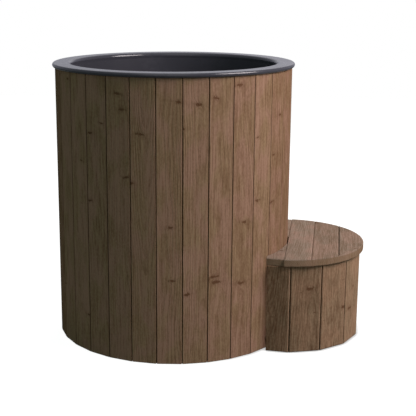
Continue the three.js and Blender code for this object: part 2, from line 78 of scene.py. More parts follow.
RING_WANDER = 0.05
RING_SHADE = 0.17
TONE_SHADE = 0.40
GRAIN_SHADES = {  # half of the range that is read, and how far it lightens and darkens the wood
    "streak": (0.2, -0.12, 0.19),
    "fibre": (0.2, -0.19, 0.25),
    "mottle": (0.2, -0.12, 0.16),
    "cloud": (0.15, -0.10, 0.12),
}
GRAIN_NOISE = {  # waves a metre across (X, Y) and along (Z) the log, and how finely they break up
    "lumps": ((120, 120, 100), 3.0),
    "wander": ((7, 7, 1.8), 2.0),
    "streak": ((130, 130, 6), 3.0),
    "fibre": ((300, 300, 15), 4.0),
    "cloud": ((17, 17, 9), 3.0),
    "mottle": ((190, 190, 110), 3.0),
}
RING_DARKENS = (0.15, 0.85)  # slowly, as a share of the ring's width
RING_ENDS = (0.86, 1.0)
RING_RELIEF = 0.6
KNOT_LAYERS = ("knot_1", "knot_2", "knot_3")
LOG_LAYERS = ("log",) + KNOT_LAYERS
BOARD_LAYERS = ("tone", "groove", "across")
KNOT_STRETCH = 2.6  # across a board, against along it
KNOT_SIZE = 0.005
KNOT_LUMPS = (0.25, 0.75, 0.4, 1.4)  # the noise that is read, and how far it draws a knot in and out
KNOT_EDGE = (1.15, 0.45)
KNOT_STAIN = 0.85
HALO_EDGE = (3.2, 0.7)
HALO_STAIN = 0.2
SWELL_STRETCH = 2.6  # of the rings round a knot, along a board against across it
SWELL_CORE = 0.9
SWELL_SIZE = 1.1
GREY_PATCHES = (0.38, 0.62)
# Dirt and painted shade, darkest deep in the joints between boards
JOINT_DIRT_AND_SHADE = (0.052, 0.024, 0.014, 1)
JOINT_DIRT_AND_SHADE_SHARE = 0.85
GROOVE_REACH = (0.75, 1.0)
EDGE_TINT = 0.55
EDGE_REACH = (0.7, 1.0)
TIMBER_ROUGH = (0.6, 0.78)
GRAIN_RELIEF = (0.5, 0.001)  # how strongly it catches the light, and its depth


def add_node(tree, kind, inputs=None, **settings):
    """Adds a shader node, sets its options, and fills its inputs with values or links."""
    node = tree.nodes.new(kind)
    for name, value in settings.items():
        setattr(node, name, value)
    for key, value in (inputs or {}).items():
        if isinstance(value, bpy.types.NodeSocket):
            tree.links.new(value, node.inputs[key])
        else:
            node.inputs[key].default_value = value
    return node


def calc(tree, operation, *values):
    """Adds a Math node and returns its result."""
    return add_node(tree, "ShaderNodeMath", dict(enumerate(values)), operation=operation).outputs[0]


def ramp(tree, value, low, high, to_low=0.0, to_high=1.0):
    """Eases a value from one range to another and returns the result."""
    inputs = {"Value": value, "From Min": low, "From Max": high, "To Min": to_low, "To Max": to_high}
    node = add_node(tree, "ShaderNodeMapRange", inputs, interpolation_type="SMOOTHSTEP")
    return node.outputs["Result"]


def mix(tree, factor, first, second):
    """Mixes two colours and returns the result."""
    node = add_node(tree, "ShaderNodeMix", {0: factor, 6: first, 7: second}, data_type="RGBA")
    return node.outputs[2]


def stretched_noise(tree, place, stretch, detail):
    """Reads noise that is drawn out by different amounts along each axis."""
    scaled = add_node(tree, "ShaderNodeVectorMath", {0: place, 1: stretch}, operation="MULTIPLY").outputs[0]
    noise = add_node(tree, "ShaderNodeTexNoise", {"Vector": scaled, "Scale": 1.0, "Detail": detail})
    return noise.outputs[0]


def new_material(name, specular=0.5):
    """Starts a material with some gloss, and returns it with its nodes."""
    material = bpy.data.materials.new(name)
    material.use_nodes = True
    tree = material.node_tree
    tree.nodes["Principled BSDF"].inputs["Specular IOR Level"].default_value = specular
    return material, tree


def set_finish(tree, colour, rough, height, strength, depth):
    """Links a surface's colour, its roughness and the relief that a height gives it."""
    shader = tree.nodes["Principled BSDF"]
    relief = add_node(tree, "ShaderNodeBump", {"Strength": strength, "Distance": depth, "Height": height})
    tree.links.new(colour, shader.inputs["Base Color"])
    tree.links.new(rough, shader.inputs["Roughness"])
    tree.links.new(relief.outputs["Normal"], shader.inputs["Normal"])


def build_timber_group():
    """Rings, fibres and knots of a log, read at the place in it that a board was sawn from."""
    group = bpy.data.node_groups.new("sawn_timber", "ShaderNodeTree")
    for name in LOG_LAYERS:
        group.interface.new_socket(name, in_out="INPUT", socket_type="NodeSocketVector")
    group.interface.new_socket("ring_width", in_out="INPUT", socket_type="NodeSocketFloat")
    for name in ("ring", "streak", "fibre", "cloud", "mottle", "knot", "halo", "height"):
        group.interface.new_socket(name, in_out="OUTPUT", socket_type="NodeSocketFloat")
    entry = add_node(group, "NodeGroupInput").outputs
    out, side, along = add_node(group, "ShaderNodeSeparateXYZ", {0: entry["log"]}).outputs
    lumps = ramp(group, stretched_noise(group, entry["log"], *GRAIN_NOISE["lumps"]), *KNOT_LUMPS)

    # A knot is a branch cut across: dark inside, stained round about, with the rings pushed aside
    knot = halo = swell = 0.0
    for name in KNOT_LAYERS:
        across, upward, size = add_node(group, "ShaderNodeSeparateXYZ", {0: entry[name]}).outputs
        across = calc(group, "DIVIDE", across, size)
        upward = calc(group, "DIVIDE", upward, size)
        flat = calc(group, "POWER", calc(group, "DIVIDE", across, KNOT_STRETCH), 2.0)
        reach = calc(group, "SQRT", calc(group, "ADD", flat, calc(group, "POWER", upward, 2.0)))
        reach = calc(group, "MULTIPLY", reach, lumps)
        knot = calc(group, "MAXIMUM", knot, ramp(group, reach, *KNOT_EDGE))
        halo = calc(group, "MAXIMUM", halo, ramp(group, reach, *HALO_EDGE))
        tall = calc(group, "POWER", calc(group, "DIVIDE", upward, SWELL_STRETCH), 2.0)
        spread = calc(group, "ADD", calc(group, "ADD", calc(group, "POWER", across, 2.0), tall), SWELL_CORE)
        push = calc(group, "DIVIDE", calc(group, "MULTIPLY", size, SWELL_SIZE), spread)
        swell = calc(group, "ADD", swell, push)

    # Rings lie round the pith and wander up the log
    level = add_node(group, "ShaderNodeCombineXYZ", {"X": out, "Y": side}).outputs[0]
    from_pith = add_node(group, "ShaderNodeVectorMath", {0: level}, operation="LENGTH").outputs["Value"]
    radius = calc(group, "ADD", from_pith, swell)
    wander = stretched_noise(group, entry["log"], *GRAIN_NOISE["wander"])
    ring_place = calc(group, "MULTIPLY_ADD", wander, RING_WANDER, radius)
    phase = calc(group, "FRACT", calc(group, "DIVIDE", ring_place, entry["ring_width"]))
    ring = calc(group, "SUBTRACT", ramp(group, phase, *RING_DARKENS), ramp(group, phase, *RING_ENDS))

    pushed = add_node(group, "ShaderNodeCombineXYZ", {"X": radius, "Y": side, "Z": along}).outputs[0]
    streak = stretched_noise(group, pushed, *GRAIN_NOISE["streak"])
    fibre = stretched_noise(group, pushed, *GRAIN_NOISE["fibre"])
    cloud = stretched_noise(group, entry["log"], *GRAIN_NOISE["cloud"])
    mottle = stretched_noise(group, entry["log"], *GRAIN_NOISE["mottle"])
    height = calc(group, "SUBTRACT", fibre, calc(group, "MULTIPLY", ring, RING_RELIEF))
    add_node(group, "NodeGroupOutput", {"ring": ring, "streak": streak, "fibre": fibre, "cloud": cloud,
                                        "mottle": mottle, "knot": knot, "halo": halo, "height": height})
    return group


timber_group = build_timber_group()


def timber_material(name, pale, grey, dark, knot_colour, ring_width, edge_colour=None):
    """Planed timber, each board in its own tone, with an edge colour worked in towards one edge (on the
    step's staves a painted highlight), and with dirt and painted shade in the joints.
    """
    material, tree = new_material(name, specular=0.0)
    timber = add_node(tree, "ShaderNodeGroup", {"ring_width": ring_width}, node_tree=timber_group)
    for layer in LOG_LAYERS:
        place = add_node(tree, "ShaderNodeAttribute", attribute_name=layer).outputs["Vector"]
        tree.links.new(place, timber.inputs[layer])
    grain = timber.outputs
    tone, groove, across = (
        add_node(tree, "ShaderNodeAttribute", attribute_name=layer).outputs["Fac"] for layer in BOARD_LAYERS
    )
    board_shade = calc(tree, "MULTIPLY", tone, TONE_SHADE)
    darkness = calc(tree, "MULTIPLY_ADD", grain["ring"], RING_SHADE, board_shade)
    for layer, (reach, lighter, darker) in GRAIN_SHADES.items():
        shade = ramp(tree, grain[layer], 0.5 - reach, 0.5 + reach, lighter, darker)
        darkness = calc(tree, "ADD", darkness, shade)
    wood = mix(tree, darkness, mix(tree, ramp(tree, grain["cloud"], *GREY_PATCHES), pale, grey), dark)
    # The colour worked in towards one edge of each board is, on the step's staves, a painted highlight
    if edge_colour:
        wood = mix(tree, ramp(tree, across, *EDGE_REACH, 0.0, EDGE_TINT), wood, edge_colour)
    knot_stain = calc(tree, "MULTIPLY", grain["knot"], KNOT_STAIN)
    halo_stain = calc(tree, "MULTIPLY", grain["halo"], HALO_STAIN)
    wood = mix(tree, calc(tree, "MAXIMUM", knot_stain, halo_stain), wood, knot_colour)
    # Dirt and painted shade darken the deep parts of the joints
    wood = mix(tree, ramp(tree, groove, *GROOVE_REACH, 0.0, JOINT_DIRT_AND_SHADE_SHARE), wood, JOINT_DIRT_AND_SHADE)
    set_finish(tree, wood, ramp(tree, darkness, 0.0, 1.0, *TIMBER_ROUGH), grain["height"], *GRAIN_RELIEF)
    return material


def new_board():
    """Starts a mesh whose points remember the log they were sawn from and the grooves beside them."""
    bm = bmesh.new()
    for name in LOG_LAYERS:
        bm.verts.layers.float_vector.new(name)
    for name in BOARD_LAYERS:
        bm.verts.layers.float.new(name)
    return bm


def mark_log(bm, verts, saw, tone, face, to_upright=Matrix.Identity(3), knots=(), most_lean=BOARD_LEAN):
    """Notes where in its log each point of a board was, and where the board has knots: the ones given
    by height, distance across and size, and small ones here and there."""
    layers = bm.verts.layers
    pith = saw.uniform(*PITH_DEPTH)
    offset = saw.uniform(-PITH_OFFSET, PITH_OFFSET)
    lean = saw.uniform(-most_lean, most_lean)
    height = saw.uniform(0, LOG_LENGTH)
    points = [to_upright @ vert.co for vert in verts]
    for vert, point in zip(verts, points):
        out = point.x - face + pith + lean * point.z
        vert[layers.float_vector["log"]] = (out, point.y + offset, point.z + height)
        vert[layers.float["tone"]] = tone
    low = [min(point[axis] for point in points) for axis in range(3)]
    high = [max(point[axis] for point in points) for axis in range(3)]
    for part, name in enumerate(KNOT_LAYERS):
        across = saw.uniform(low[1], high[1])
        share = (part + saw.random()) / len(KNOT_LAYERS)
        along = low[2] + (high[2] - low[2]) * share
        size = KNOT_SIZE * saw.random() ** 2 + KNOT_SIZE / 10
        slant = saw.uniform(-1, 1)
        if part < len(knots):
            along, across, size = knots[part]
        for vert, point in zip(verts, points):
            above = point.z - along
            vert[layers.float_vector[name]] = (point.y - across + above * slant, above, size)


def finish_piece(bm, name, material, body, slot, *nodes):
    """Turns a finished bmesh into a piece that rides on a body and stands for its solids."""
    bmesh.ops.recalc_face_normals(bm, faces=bm.faces[:])
    mesh = bpy.data.meshes.new(name)
    bm.to_mesh(mesh)
    bm.free()
    mesh.materials.append(material)
    piece = bpy.data.objects.new(name, mesh)
    bpy.context.scene.collection.objects.link(piece)
    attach(piece, body)
    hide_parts(*nodes)
    return piece


def edges_of(verts):
    """The edges that meet at some points, each once."""
    return list(dict.fromkeys(edge for vert in verts for edge in vert.link_edges))


def ease_edges(bm, edges, offset, segments):
    """Takes the sharpness off edges."""
    bmesh.ops.bevel(bm, geom=edges, offset=offset, offset_type="OFFSET", affect="EDGES", segments=segments,
                    profile=0.5, material=-1)


def add_board(bm, size, place, saw):
    """Adds a straight board, modelled upright and then moved to its place."""
    kept = set(bm.verts)
    cube = bmesh.ops.create_cube(bm, size=1.0)["verts"]
    bmesh.ops.scale(bm, vec=size, verts=cube)
    ease_edges(bm, edges_of(cube), JOIST_ARRIS, 2)
    verts = [vert for vert in bm.verts if vert not in kept]
    mark_log(bm, verts, saw, saw.random(), size[0] / 2)
    bmesh.ops.transform(bm, matrix=place, verts=verts)


def build_base_frame():
    """Lays three joists and lets two rails in between each pair."""
    low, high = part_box("base_frame")
    saw = random.Random(FRAME_SEED)
    spacing = high.y - JOIST_WIDTH / 2
    reach = math.hypot(high.x, JOIST_WIDTH / 2)
    joist_height = high.z - low.z
    lying = Matrix.Rotation(math.pi / 2, 4, "Y")
    bm = new_board()
    for row in (-1, 0, 1):
        length = 2 * math.sqrt(reach ** 2 - (abs(row) * spacing + JOIST_WIDTH / 2) ** 2)
        place = Matrix.Translation((0, row * spacing, joist_height / 2)) @ lying
        add_board(bm, (joist_height, JOIST_WIDTH, length), place, saw)
    crosswise = Matrix.Rotation(math.pi / 2, 4, "X")
    for end in (-1, 1):
        for bay in (-1, 1):
            centre = (end * RAIL_SPACING / 2, bay * spacing / 2, high.z - RAIL_HEIGHT / 2)
            place = Matrix.Translation(centre) @ crosswise
            add_board(bm, (JOIST_WIDTH, RAIL_HEIGHT, spacing - JOIST_WIDTH), place, saw)
    return bm


treated_timber = timber_material("treated_timber", TREATED_PALE, TREATED_GREY, TREATED_DARK, TREATED_KNOT,
                                 TREATED_RINGS)
finish_piece(build_base_frame(), "glued_base_frame", treated_timber, "tub", "frame_timber", "base_frame")

# Base board: a disc of exterior plywood under the liner, with a flat for each stave to be screwed to.
# The two hoops higher up are cut from the same plywood, and hold the staves in a ring.
PLY_THICKNESS = 0.0026
PLY_PALE = (0.52, 0.36, 0.19, 1)
PLY_DARK = (0.30, 0.18, 0.085, 1)
PLY_BAND = (0.35, 0.65)  # of a veneer's thickness, where one gives way to the next
PLY_BAND_SHADE = 0.45
PLY_GRAIN = ((6, 150, 150), 3.0)
PLY_GRAIN_EDGE = (0.3, 0.75)
PLY_GRAIN_SHADE = 0.6
PLY_ROUGH_RANGE = (0.2, 0.8)
PLY_ROUGH = (0.6, 0.8)
PLY_RELIEF = (0.3, 0.0005)


def plywood_material():
    """Crossed veneers: grain on the faces and bands of veneer on the edges."""
    material, tree = new_material("plywood", specular=0.2)
    place = add_node(tree, "ShaderNodeTexCoord").outputs["Object"]
    height = add_node(tree, "ShaderNodeSeparateXYZ", {0: place}).outputs["Z"]
    layer = calc(tree, "PINGPONG", height, PLY_THICKNESS)
    band = ramp(tree, calc(tree, "DIVIDE", layer, PLY_THICKNESS), *PLY_BAND)
    grain = stretched_noise(tree, place, *PLY_GRAIN)
    grain_shade = ramp(tree, grain, *PLY_GRAIN_EDGE, 0.0, PLY_GRAIN_SHADE)
    darkness = calc(tree, "MULTIPLY_ADD", band, PLY_BAND_SHADE, grain_shade)
    colour = mix(tree, darkness, PLY_PALE, PLY_DARK)
    set_finish(tree, colour, ramp(tree, grain, *PLY_ROUGH_RANGE, *PLY_ROUGH), grain, *PLY_RELIEF)
    return material


def dress_node(name, material):
    """Gives a solid that already has its true shape its finish."""
    for slot in frame["nodes"][name].material_slots:
        slot.material = material


plywood = plywood_material()
for node_name in ("base_board", "upper_hoop", "middle_hoop"):
    dress_node(node_name, plywood)

# Liner: floor, wall and rolled rim, rotationally moulded in one piece from anthracite plastic.
# It hangs by its rim over the staves' upper ends and stands on the base board.
LINER_WALL = 0.006
INSULATION_THICKNESS = 0.012
FIT_GAP = 0.0003
LINER_CORNER = 0.05
RIM_EDGE = 0.012
RIM_NOSE = 0.008
RIM_OVERHANG = 0.0085
RIM_WOOD_GAP = 0.001
LINER_STEPS = 192
ARC_STEP = 7.5  # degrees
LINER_COLOUR = (0.046, 0.045, 0.057, 1)
LINER_WORN = (0.055, 0.054, 0.067, 1)
LINER_ROUGH = (0.30, 0.38)
LINER_GRAIN = 0.0009
HANDLING_MARKS = ((9, 9, 5), 4.0)
SCUFFS = ((60, 60, 60), 5.0)
MOULD_RELIEF = (0.25, 0.0002)
NOISE_RANGE = (0.3, 0.7)  # where most of a noise's values lie
PATCH_EDGE = (0.35, 0.7)  # where a noise turns into patches
RIM_POLISH = 0.18
MERGE_DISTANCE = 1e-6
CREASE_ANGLE = math.radians(35)
DRAIN_HOLE = 0.0213
DRAIN_HOLE_STEPS = 64


def draw_line(bm, tip, end):
    """Draws an edge on from the last point and returns the new last point."""
    vert = bmesh.ops.extrude_vert_indiv(bm, verts=[tip])["verts"][0]
    vert.co = end
    return vert


def draw_lines(bm, tip, *ends):
    """Draws edges on through points that are given by X and Z, and returns the last one."""
    for x, z in ends:
        tip = draw_line(bm, tip, (x, 0, z))
    return tip


def draw_arc(bm, tip, centre, axis, degrees, step=ARC_STEP):
    """Draws an arc on from the last point and returns the new last point."""
    steps = math.ceil(abs(degrees) / step)
    made = bmesh.ops.spin(bm, geom=[tip], cent=centre, axis=axis, angle=math.radians(degrees), steps=steps)
    return made["geom_last"][0]


def smooth(faces):
    """Shades faces as one curved surface."""
    for face in faces:
        face.smooth = True


def spin_round(bm, axis, steps):
    """Turns the profile drawn so far into a closed round shape with smooth faces."""
    geom = bm.verts[:] + bm.edges[:]
    bmesh.ops.spin(bm, geom=geom, cent=(0, 0, 0), axis=axis, angle=2 * math.pi, steps=steps, use_merge=True)
    bmesh.ops.remove_doubles(bm, verts=bm.verts[:], dist=MERGE_DISTANCE)
    smooth(bm.faces)


def build_liner():
    """Draws the liner's wall in section, from under the floor out to the rim and back, and spins it."""
    low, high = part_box("liner")
    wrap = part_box("insulation_wrap")[1]
    up_and_out = (0, -1, 0)
    outer = wrap.x - INSULATION_THICKNESS - FIT_GAP
    inner = outer - LINER_WALL
    lip = high.x - RIM_OVERHANG + RIM_WOOD_GAP
    under_rim = high.z - LINER_WALL
    nose = Vector((high.x - RIM_NOSE, 0, high.z - RIM_NOSE))
    lip_turn = math.degrees(math.acos((lip - nose.x) / RIM_NOSE))
    outer_corner = LINER_CORNER + LINER_WALL
    lip_bottom = nose.z - RIM_NOSE * math.sin(math.radians(lip_turn))
    floor_top = low.z + LINER_WALL
    corner_top = floor_top + LINER_CORNER
    flat_end = inner + RIM_EDGE
    strip = RIM_EDGE / 8  # a narrow strip beside each curve keeps the flats' shading flat
    bm = bmesh.new()
    tip = bm.verts.new((0, 0, low.z))
    tip = draw_lines(bm, tip, (outer - outer_corner, low.z))
    tip = draw_arc(bm, tip, (outer - outer_corner, 0, low.z + outer_corner), up_and_out, 90)
    tip = draw_lines(bm, tip, (outer, under_rim - LINER_WALL))
    tip = draw_arc(bm, tip, (outer + LINER_WALL, 0, under_rim - LINER_WALL), up_and_out, -90)
    tip = draw_lines(bm, tip, (lip, under_rim), (lip, lip_bottom))
    tip = draw_arc(bm, tip, nose, up_and_out, 90 + lip_turn)
    tip = draw_lines(bm, tip, (nose.x - strip, high.z), (flat_end + strip, high.z), (flat_end, high.z))
    tip = draw_arc(bm, tip, (flat_end, 0, high.z - RIM_EDGE), up_and_out, 90)
    tip = draw_lines(bm, tip, (inner, high.z - RIM_EDGE - strip), (inner, corner_top))
    tip = draw_arc(bm, tip, (inner - LINER_CORNER, 0, corner_top), up_and_out, -90)
    draw_lines(bm, tip, (0, floor_top))
    spin_round(bm, (0, 0, 1), LINER_STEPS)
    return bm


def moulded_plastic(name, colour, worn, rough, grain_size):
    """Moulded plastic: a fine grain from the mould, with cloudy handling marks in its gloss."""
    material, tree = new_material(name)
    place = add_node(tree, "ShaderNodeTexCoord").outputs["Object"]
    grain = stretched_noise(tree, place, (1 / grain_size,) * 3, 2.0)
    marks = stretched_noise(tree, place, *HANDLING_MARKS)
    scuffs = stretched_noise(tree, place, *SCUFFS)
    worn_share = calc(tree, "MULTIPLY", ramp(tree, marks, *PATCH_EDGE), ramp(tree, scuffs, *PATCH_EDGE))
    dulled = ramp(tree, marks, *NOISE_RANGE, *rough)
    set_finish(tree, mix(tree, worn_share, colour, worn), dulled, grain, *MOULD_RELIEF)
    return material


def polish_rim(material):
    """Makes the rim glossier, where hands keep it polished."""
    tree = material.node_tree
    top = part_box("liner")[1].z
    place = add_node(tree, "ShaderNodeTexCoord").outputs["Object"]
    height = add_node(tree, "ShaderNodeSeparateXYZ", {0: place}).outputs["Z"]
    rough = tree.nodes["Principled BSDF"].inputs["Roughness"]
    moulded = rough.links[0].from_socket
    polish = ramp(tree, height, top - 3 * RIM_NOSE, top - 2 * RIM_NOSE, 0.0, RIM_POLISH)
    tree.links.new(calc(tree, "SUBTRACT", moulded, polish), rough)


def cut_out(piece, cutter):
    """Cuts a closed shape out of a finished piece."""
    mesh = bpy.data.meshes.new("cutter")
    bmesh.ops.recalc_face_normals(cutter, faces=cutter.faces[:])
    cutter.to_mesh(mesh)
    cutter.free()
    tool = bpy.data.objects.new("cutter", mesh)
    bpy.context.scene.collection.objects.link(tool)
    boolean = piece.modifiers.new("cut", "BOOLEAN")
    boolean.operation = "DIFFERENCE"
    boolean.solver = "EXACT"
    boolean.object = tool
    evaluated = piece.evaluated_get(bpy.context.evaluated_depsgraph_get())
    cut_mesh = bpy.data.meshes.new_from_object(evaluated)
    piece.modifiers.clear()
    piece.data = cut_mesh
    bpy.data.objects.remove(tool)


def sharpen(piece):
    """Keeps the corners of a smooth-shaded piece crisp."""
    piece.data.set_sharp_from_angle(angle=CREASE_ANGLE)


def add_rod(bm, radius, bottom, top, segments, place=Matrix.Identity(4)):
    """Adds a closed round or many-sided rod along its own Z and returns its points."""
    turn = Matrix.Translation((0, 0, (bottom + top) / 2))
    made = bmesh.ops.create_cone(bm, cap_ends=True, segments=segments, radius1=radius, radius2=radius,
                                 depth=top - bottom, matrix=place @ turn)
    return made["verts"]


liner_plastic = moulded_plastic("liner_plastic", LINER_COLOUR, LINER_WORN, LINER_ROUGH, LINER_GRAIN)
polish_rim(liner_plastic)
liner = finish_piece(build_liner(), "moulded_liner", liner_plastic, "tub", "liner_plastic", "liner")
drain_low, drain_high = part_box("drain_flange")
drain_axis = (drain_low + drain_high) / 2
over_drain = Matrix.Translation((drain_axis.x, drain_axis.y, 0))
hole = bmesh.new()
add_rod(hole, DRAIN_HOLE, 0, drain_high.z, DRAIN_HOLE_STEPS, over_drain)
cut_out(liner, hole)
sharpen(liner)

# Insulation: a sleeve of closed-cell foam sheet, wrapped round the liner's wall before the hoops and the
# staves go on. It shows nowhere once the ring of staves is closed.
FOAM_PALE = (0.70, 0.68, 0.62, 1)
FOAM_DARK = (0.52, 0.50, 0.45, 1)
FOAM_CELLS = 700.0  # a metre
FOAM_SOILING = ((12, 12, 6), 4.0)
FOAM_ROUGH = (0.8, 0.95)
FOAM_RELIEF = (0.5, 0.0004)


def foam_material():
    """Foam with small closed cells and a slightly soiled skin."""
    material, tree = new_material("foam")
    place = add_node(tree, "ShaderNodeTexCoord").outputs["Object"]
    cells = add_node(tree, "ShaderNodeTexVoronoi", {"Vector": place, "Scale": FOAM_CELLS})
    soiling = stretched_noise(tree, place, *FOAM_SOILING)
    colour = mix(tree, ramp(tree, soiling, *NOISE_RANGE), FOAM_PALE, FOAM_DARK)
    rough = ramp(tree, soiling, *NOISE_RANGE, *FOAM_ROUGH)
    set_finish(tree, colour, rough, cells.outputs["Distance"], *FOAM_RELIEF)
    return material


dress_node("insulation_wrap", foam_material())

# Staves: upright tongue-and-groove boards of heat-treated softwood with eased edges, planed and oiled.
# They stand in a ring, screwed from inside to the hoops and to the base board.
TUB_RADIUS = 0.44
STAVE_COUNT = 29
STAVE_THICKNESS = 0.021
STAVE_ARRIS = 0.002
ARRIS_STEPS = 4
JOINT_OPENING = 0.0011  # each stave's outer half is narrower by this much on each side
TIGHT_OPENING = 0.0005  # where the boards have shrunk less, from the stave below on
FIRST_TIGHT_STAVE = 18
TONGUE_THICKNESS = 0.006
TONGUE_LENGTH = 0.006
CLOSING_WIDTH = 0.139
CLOSING_ANGLE = math.radians(93)
STAVE_PALE = (0.348, 0.207, 0.144, 1)
STAVE_GREY = (0.328, 0.216, 0.129, 1)
STAVE_DARK = (0.155, 0.077, 0.042, 1)
STAVE_KNOT = (0.112, 0.050, 0.026, 1)
STAVE_EDGE = (0.240, 0.140, 0.085, 1)
STAVE_RINGS = 0.0055
STAVE_SEED = 11
STAVE_TONES = {
    10: 0.0, 11: 0.0, 12: 0.1, 13: 0.1, 14: 0.0, 15: 0.1,
    16: 0.1, 17: 0.3, 18: 0.5, 19: 0.3, 20: 0.8, 21: 1.0,
}
STAVE_KNOTS = {  # height, distance across and size
    12: ((0.81, -0.028, 0.0045), (0.57, -0.035, 0.004)),
    13: ((0.90, 0.017, 0.0045), (0.67, 0.033, 0.004)),
    14: ((0.82, -0.005, 0.004), (0.65, -0.042, 0.004)),
    15: ((0.93, 0.031, 0.0045), (0.50, 0.003, 0.004), (0.31, 0.010, 0.004)),
    16: ((0.92, 0.007, 0.0055), (0.26, -0.028, 0.005)),
    17: ((0.94, -0.022, 0.0045), (0.317, -0.026, 0.006), (0.297, -0.018, 0.007)),
    18: ((0.98, -0.025, 0.005), (0.50, 0.005, 0.005), (0.28, -0.008, 0.006)),
    19: ((0.57, -0.025, 0.005),),
    20: ((0.55, -0.030, 0.004), (0.72, -0.025, 0.003)),
}
closing_half = math.asin(CLOSING_WIDTH / 2 / TUB_RADIUS)
stave_half = (math.pi - closing_half) / STAVE_COUNT


def stave_section(radius, half, thickness, tongue=True, groove=True, opening=JOINT_OPENING):
    """End view of a stave: +X out of the ring, the tongue at +half and the groove at -half."""
    def edge_point(distance, side, proud):
        """A point on one side of the stave, which lies along a radius of the ring."""
        offset = proud - FIT_GAP
        x = distance * math.cos(half) - offset * math.sin(half)
        y = distance * math.sin(half) + offset * math.cos(half)
        return Vector((x, side * y, 0))

    inner = radius - thickness / math.cos(half)
    middle = (radius + inner) / 2
    groove_half = TONGUE_THICKNESS / 2 + FIT_GAP
    groove_depth = TONGUE_LENGTH + FIT_GAP
    points = [edge_point(inner, -1, 0)]
    if groove:
        points.append(edge_point(middle - groove_half, -1, 0))
        points.append(edge_point(middle - groove_half, -1, -groove_depth))
        points.append(edge_point(middle + groove_half, -1, -groove_depth))
        points.append(edge_point(middle + groove_half, -1, -opening))
    points.append(edge_point(radius, -1, -opening))
    points.append(edge_point(radius, 1, -opening))
    if tongue:
        points.append(edge_point(middle + TONGUE_THICKNESS / 2, 1, -opening))
        points.append(edge_point(middle + TONGUE_THICKNESS / 2, 1, TONGUE_LENGTH))
        points.append(edge_point(middle - TONGUE_THICKNESS / 2, 1, TONGUE_LENGTH))
        points.append(edge_point(middle - TONGUE_THICKNESS / 2, 1, 0))
    points.append(edge_point(inner, 1, 0))
    return points


def raise_face(bm, face, height):
    """Extrudes a face upwards into a solid."""
    made = bmesh.ops.extrude_face_region(bm, geom=[face])
    top = [item for item in made["geom"] if isinstance(item, bmesh.types.BMVert)]
    bmesh.ops.translate(bm, vec=(0, 0, height), verts=top)


def mark_stave(bm, arris, saw, tone, **marks):
    """Marks a stave's grain, the dirt and painted shade in its joints, and which way lies across it."""
    face = max(vert.co.x for vert in bm.verts)
    half_width = max(vert.co.y for vert in bm.verts)
    mark_log(bm, bm.verts[:], saw, tone, face, **marks)
    layers = bm.verts.layers.float
    for vert in bm.verts:
        depth = face - vert.co.x
        if depth < STAVE_THICKNESS / 2:
            vert[layers["groove"]] = min(depth / arris, 1)
            vert[layers["across"]] = vert.co.y / half_width


def build_stave(section, bottom, top, arris, saw, tone, **marks):
    """Extrudes a stave, eases the edges of its outer face and marks its grain."""
    bm = new_board()
    raise_face(bm, bm.faces.new([bm.verts.new(point) for point in section]), top - bottom)
    bmesh.ops.translate(bm, vec=(0, 0, bottom), verts=bm.verts[:])
    face = max(vert.co.x for vert in bm.verts)
    rim = [edge for edge in bm.edges if all(vert.co.x > face - FIT_GAP for vert in edge.verts)]
    ease_edges(bm, rim, arris, ARRIS_STEPS)
    mark_stave(bm, arris, saw, tone, **marks)
    return bm


def turn_about_z(bm, angle):
    """Swings a stave or a pipe from the X axis to its place round the tub."""
    bmesh.ops.rotate(bm, cent=(0, 0, 0), matrix=Matrix.Rotation(angle, 3, "Z"), verts=bm.verts[:])


stave_timber = timber_material("stave_timber", STAVE_PALE, STAVE_GREY, STAVE_DARK, STAVE_KNOT, STAVE_RINGS,
                               STAVE_EDGE)
stave_saw = random.Random(STAVE_SEED)
stave_low, stave_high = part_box("stave_01")
for number in range(1, STAVE_COUNT + 1):
    opening = TIGHT_OPENING if number >= FIRST_TIGHT_STAVE else JOINT_OPENING
    section = stave_section(TUB_RADIUS, stave_half, STAVE_THICKNESS, opening=opening)
    tone = STAVE_TONES.get(number, stave_saw.random())
    knots = STAVE_KNOTS.get(number, ())
    stave = build_stave(section, stave_low.z, stave_high.z, STAVE_ARRIS, stave_saw, tone, knots=knots)
    turn_about_z(stave, CLOSING_ANGLE + closing_half + stave_half * (2 * number - 1))
    label = f"stave_{number:02d}"
    finish_piece(stave, f"planed_{label}", stave_timber, "tub", "stave_timber", label)

# Closing stave: one wider stave of the same timber at the back, planed to the width that is left to close
# the ring. The drain pipe passes through a hole near its foot.
PIPE_HOLE = 0.018
PIPE_HOLE_STEPS = 48
PIPE_HEIGHT = 0.040
CLOSING_SEED = 5
CLOSING_TONE = 0.5
section = stave_section(TUB_RADIUS, closing_half, STAVE_THICKNESS)
stave = build_stave(section, stave_low.z, stave_high.z, STAVE_ARRIS, stave_saw, stave_saw.random())
turn_about_z(stave, CLOSING_ANGLE)
closing_stave = finish_piece(stave, "planed_closing_stave", stave_timber, "tub", "stave_timber",
                             "closing_stave")
to_back = Matrix.Rotation(CLOSING_ANGLE, 4, "Z")
along_pipe = to_back @ Matrix.Translation((0, 0, PIPE_HEIGHT)) @ Matrix.Rotation(math.pi / 2, 4, "Y")
hole = bmesh.new()
add_rod(hole, PIPE_HOLE, TUB_RADIUS / 2, TUB_RADIUS * 2, PIPE_HOLE_STEPS, along_pipe)
cut_out(closing_stave, hole)

# The hole brings new points to the stave, so its grain is marked again
stave = bmesh.new()
stave.from_mesh(closing_stave.data)
turn_about_z(stave, -CLOSING_ANGLE)
mark_stave(stave, STAVE_ARRIS, random.Random(CLOSING_SEED), CLOSING_TONE)
turn_about_z(stave, CLOSING_ANGLE)
stave.to_mesh(closing_stave.data)
stave.free()

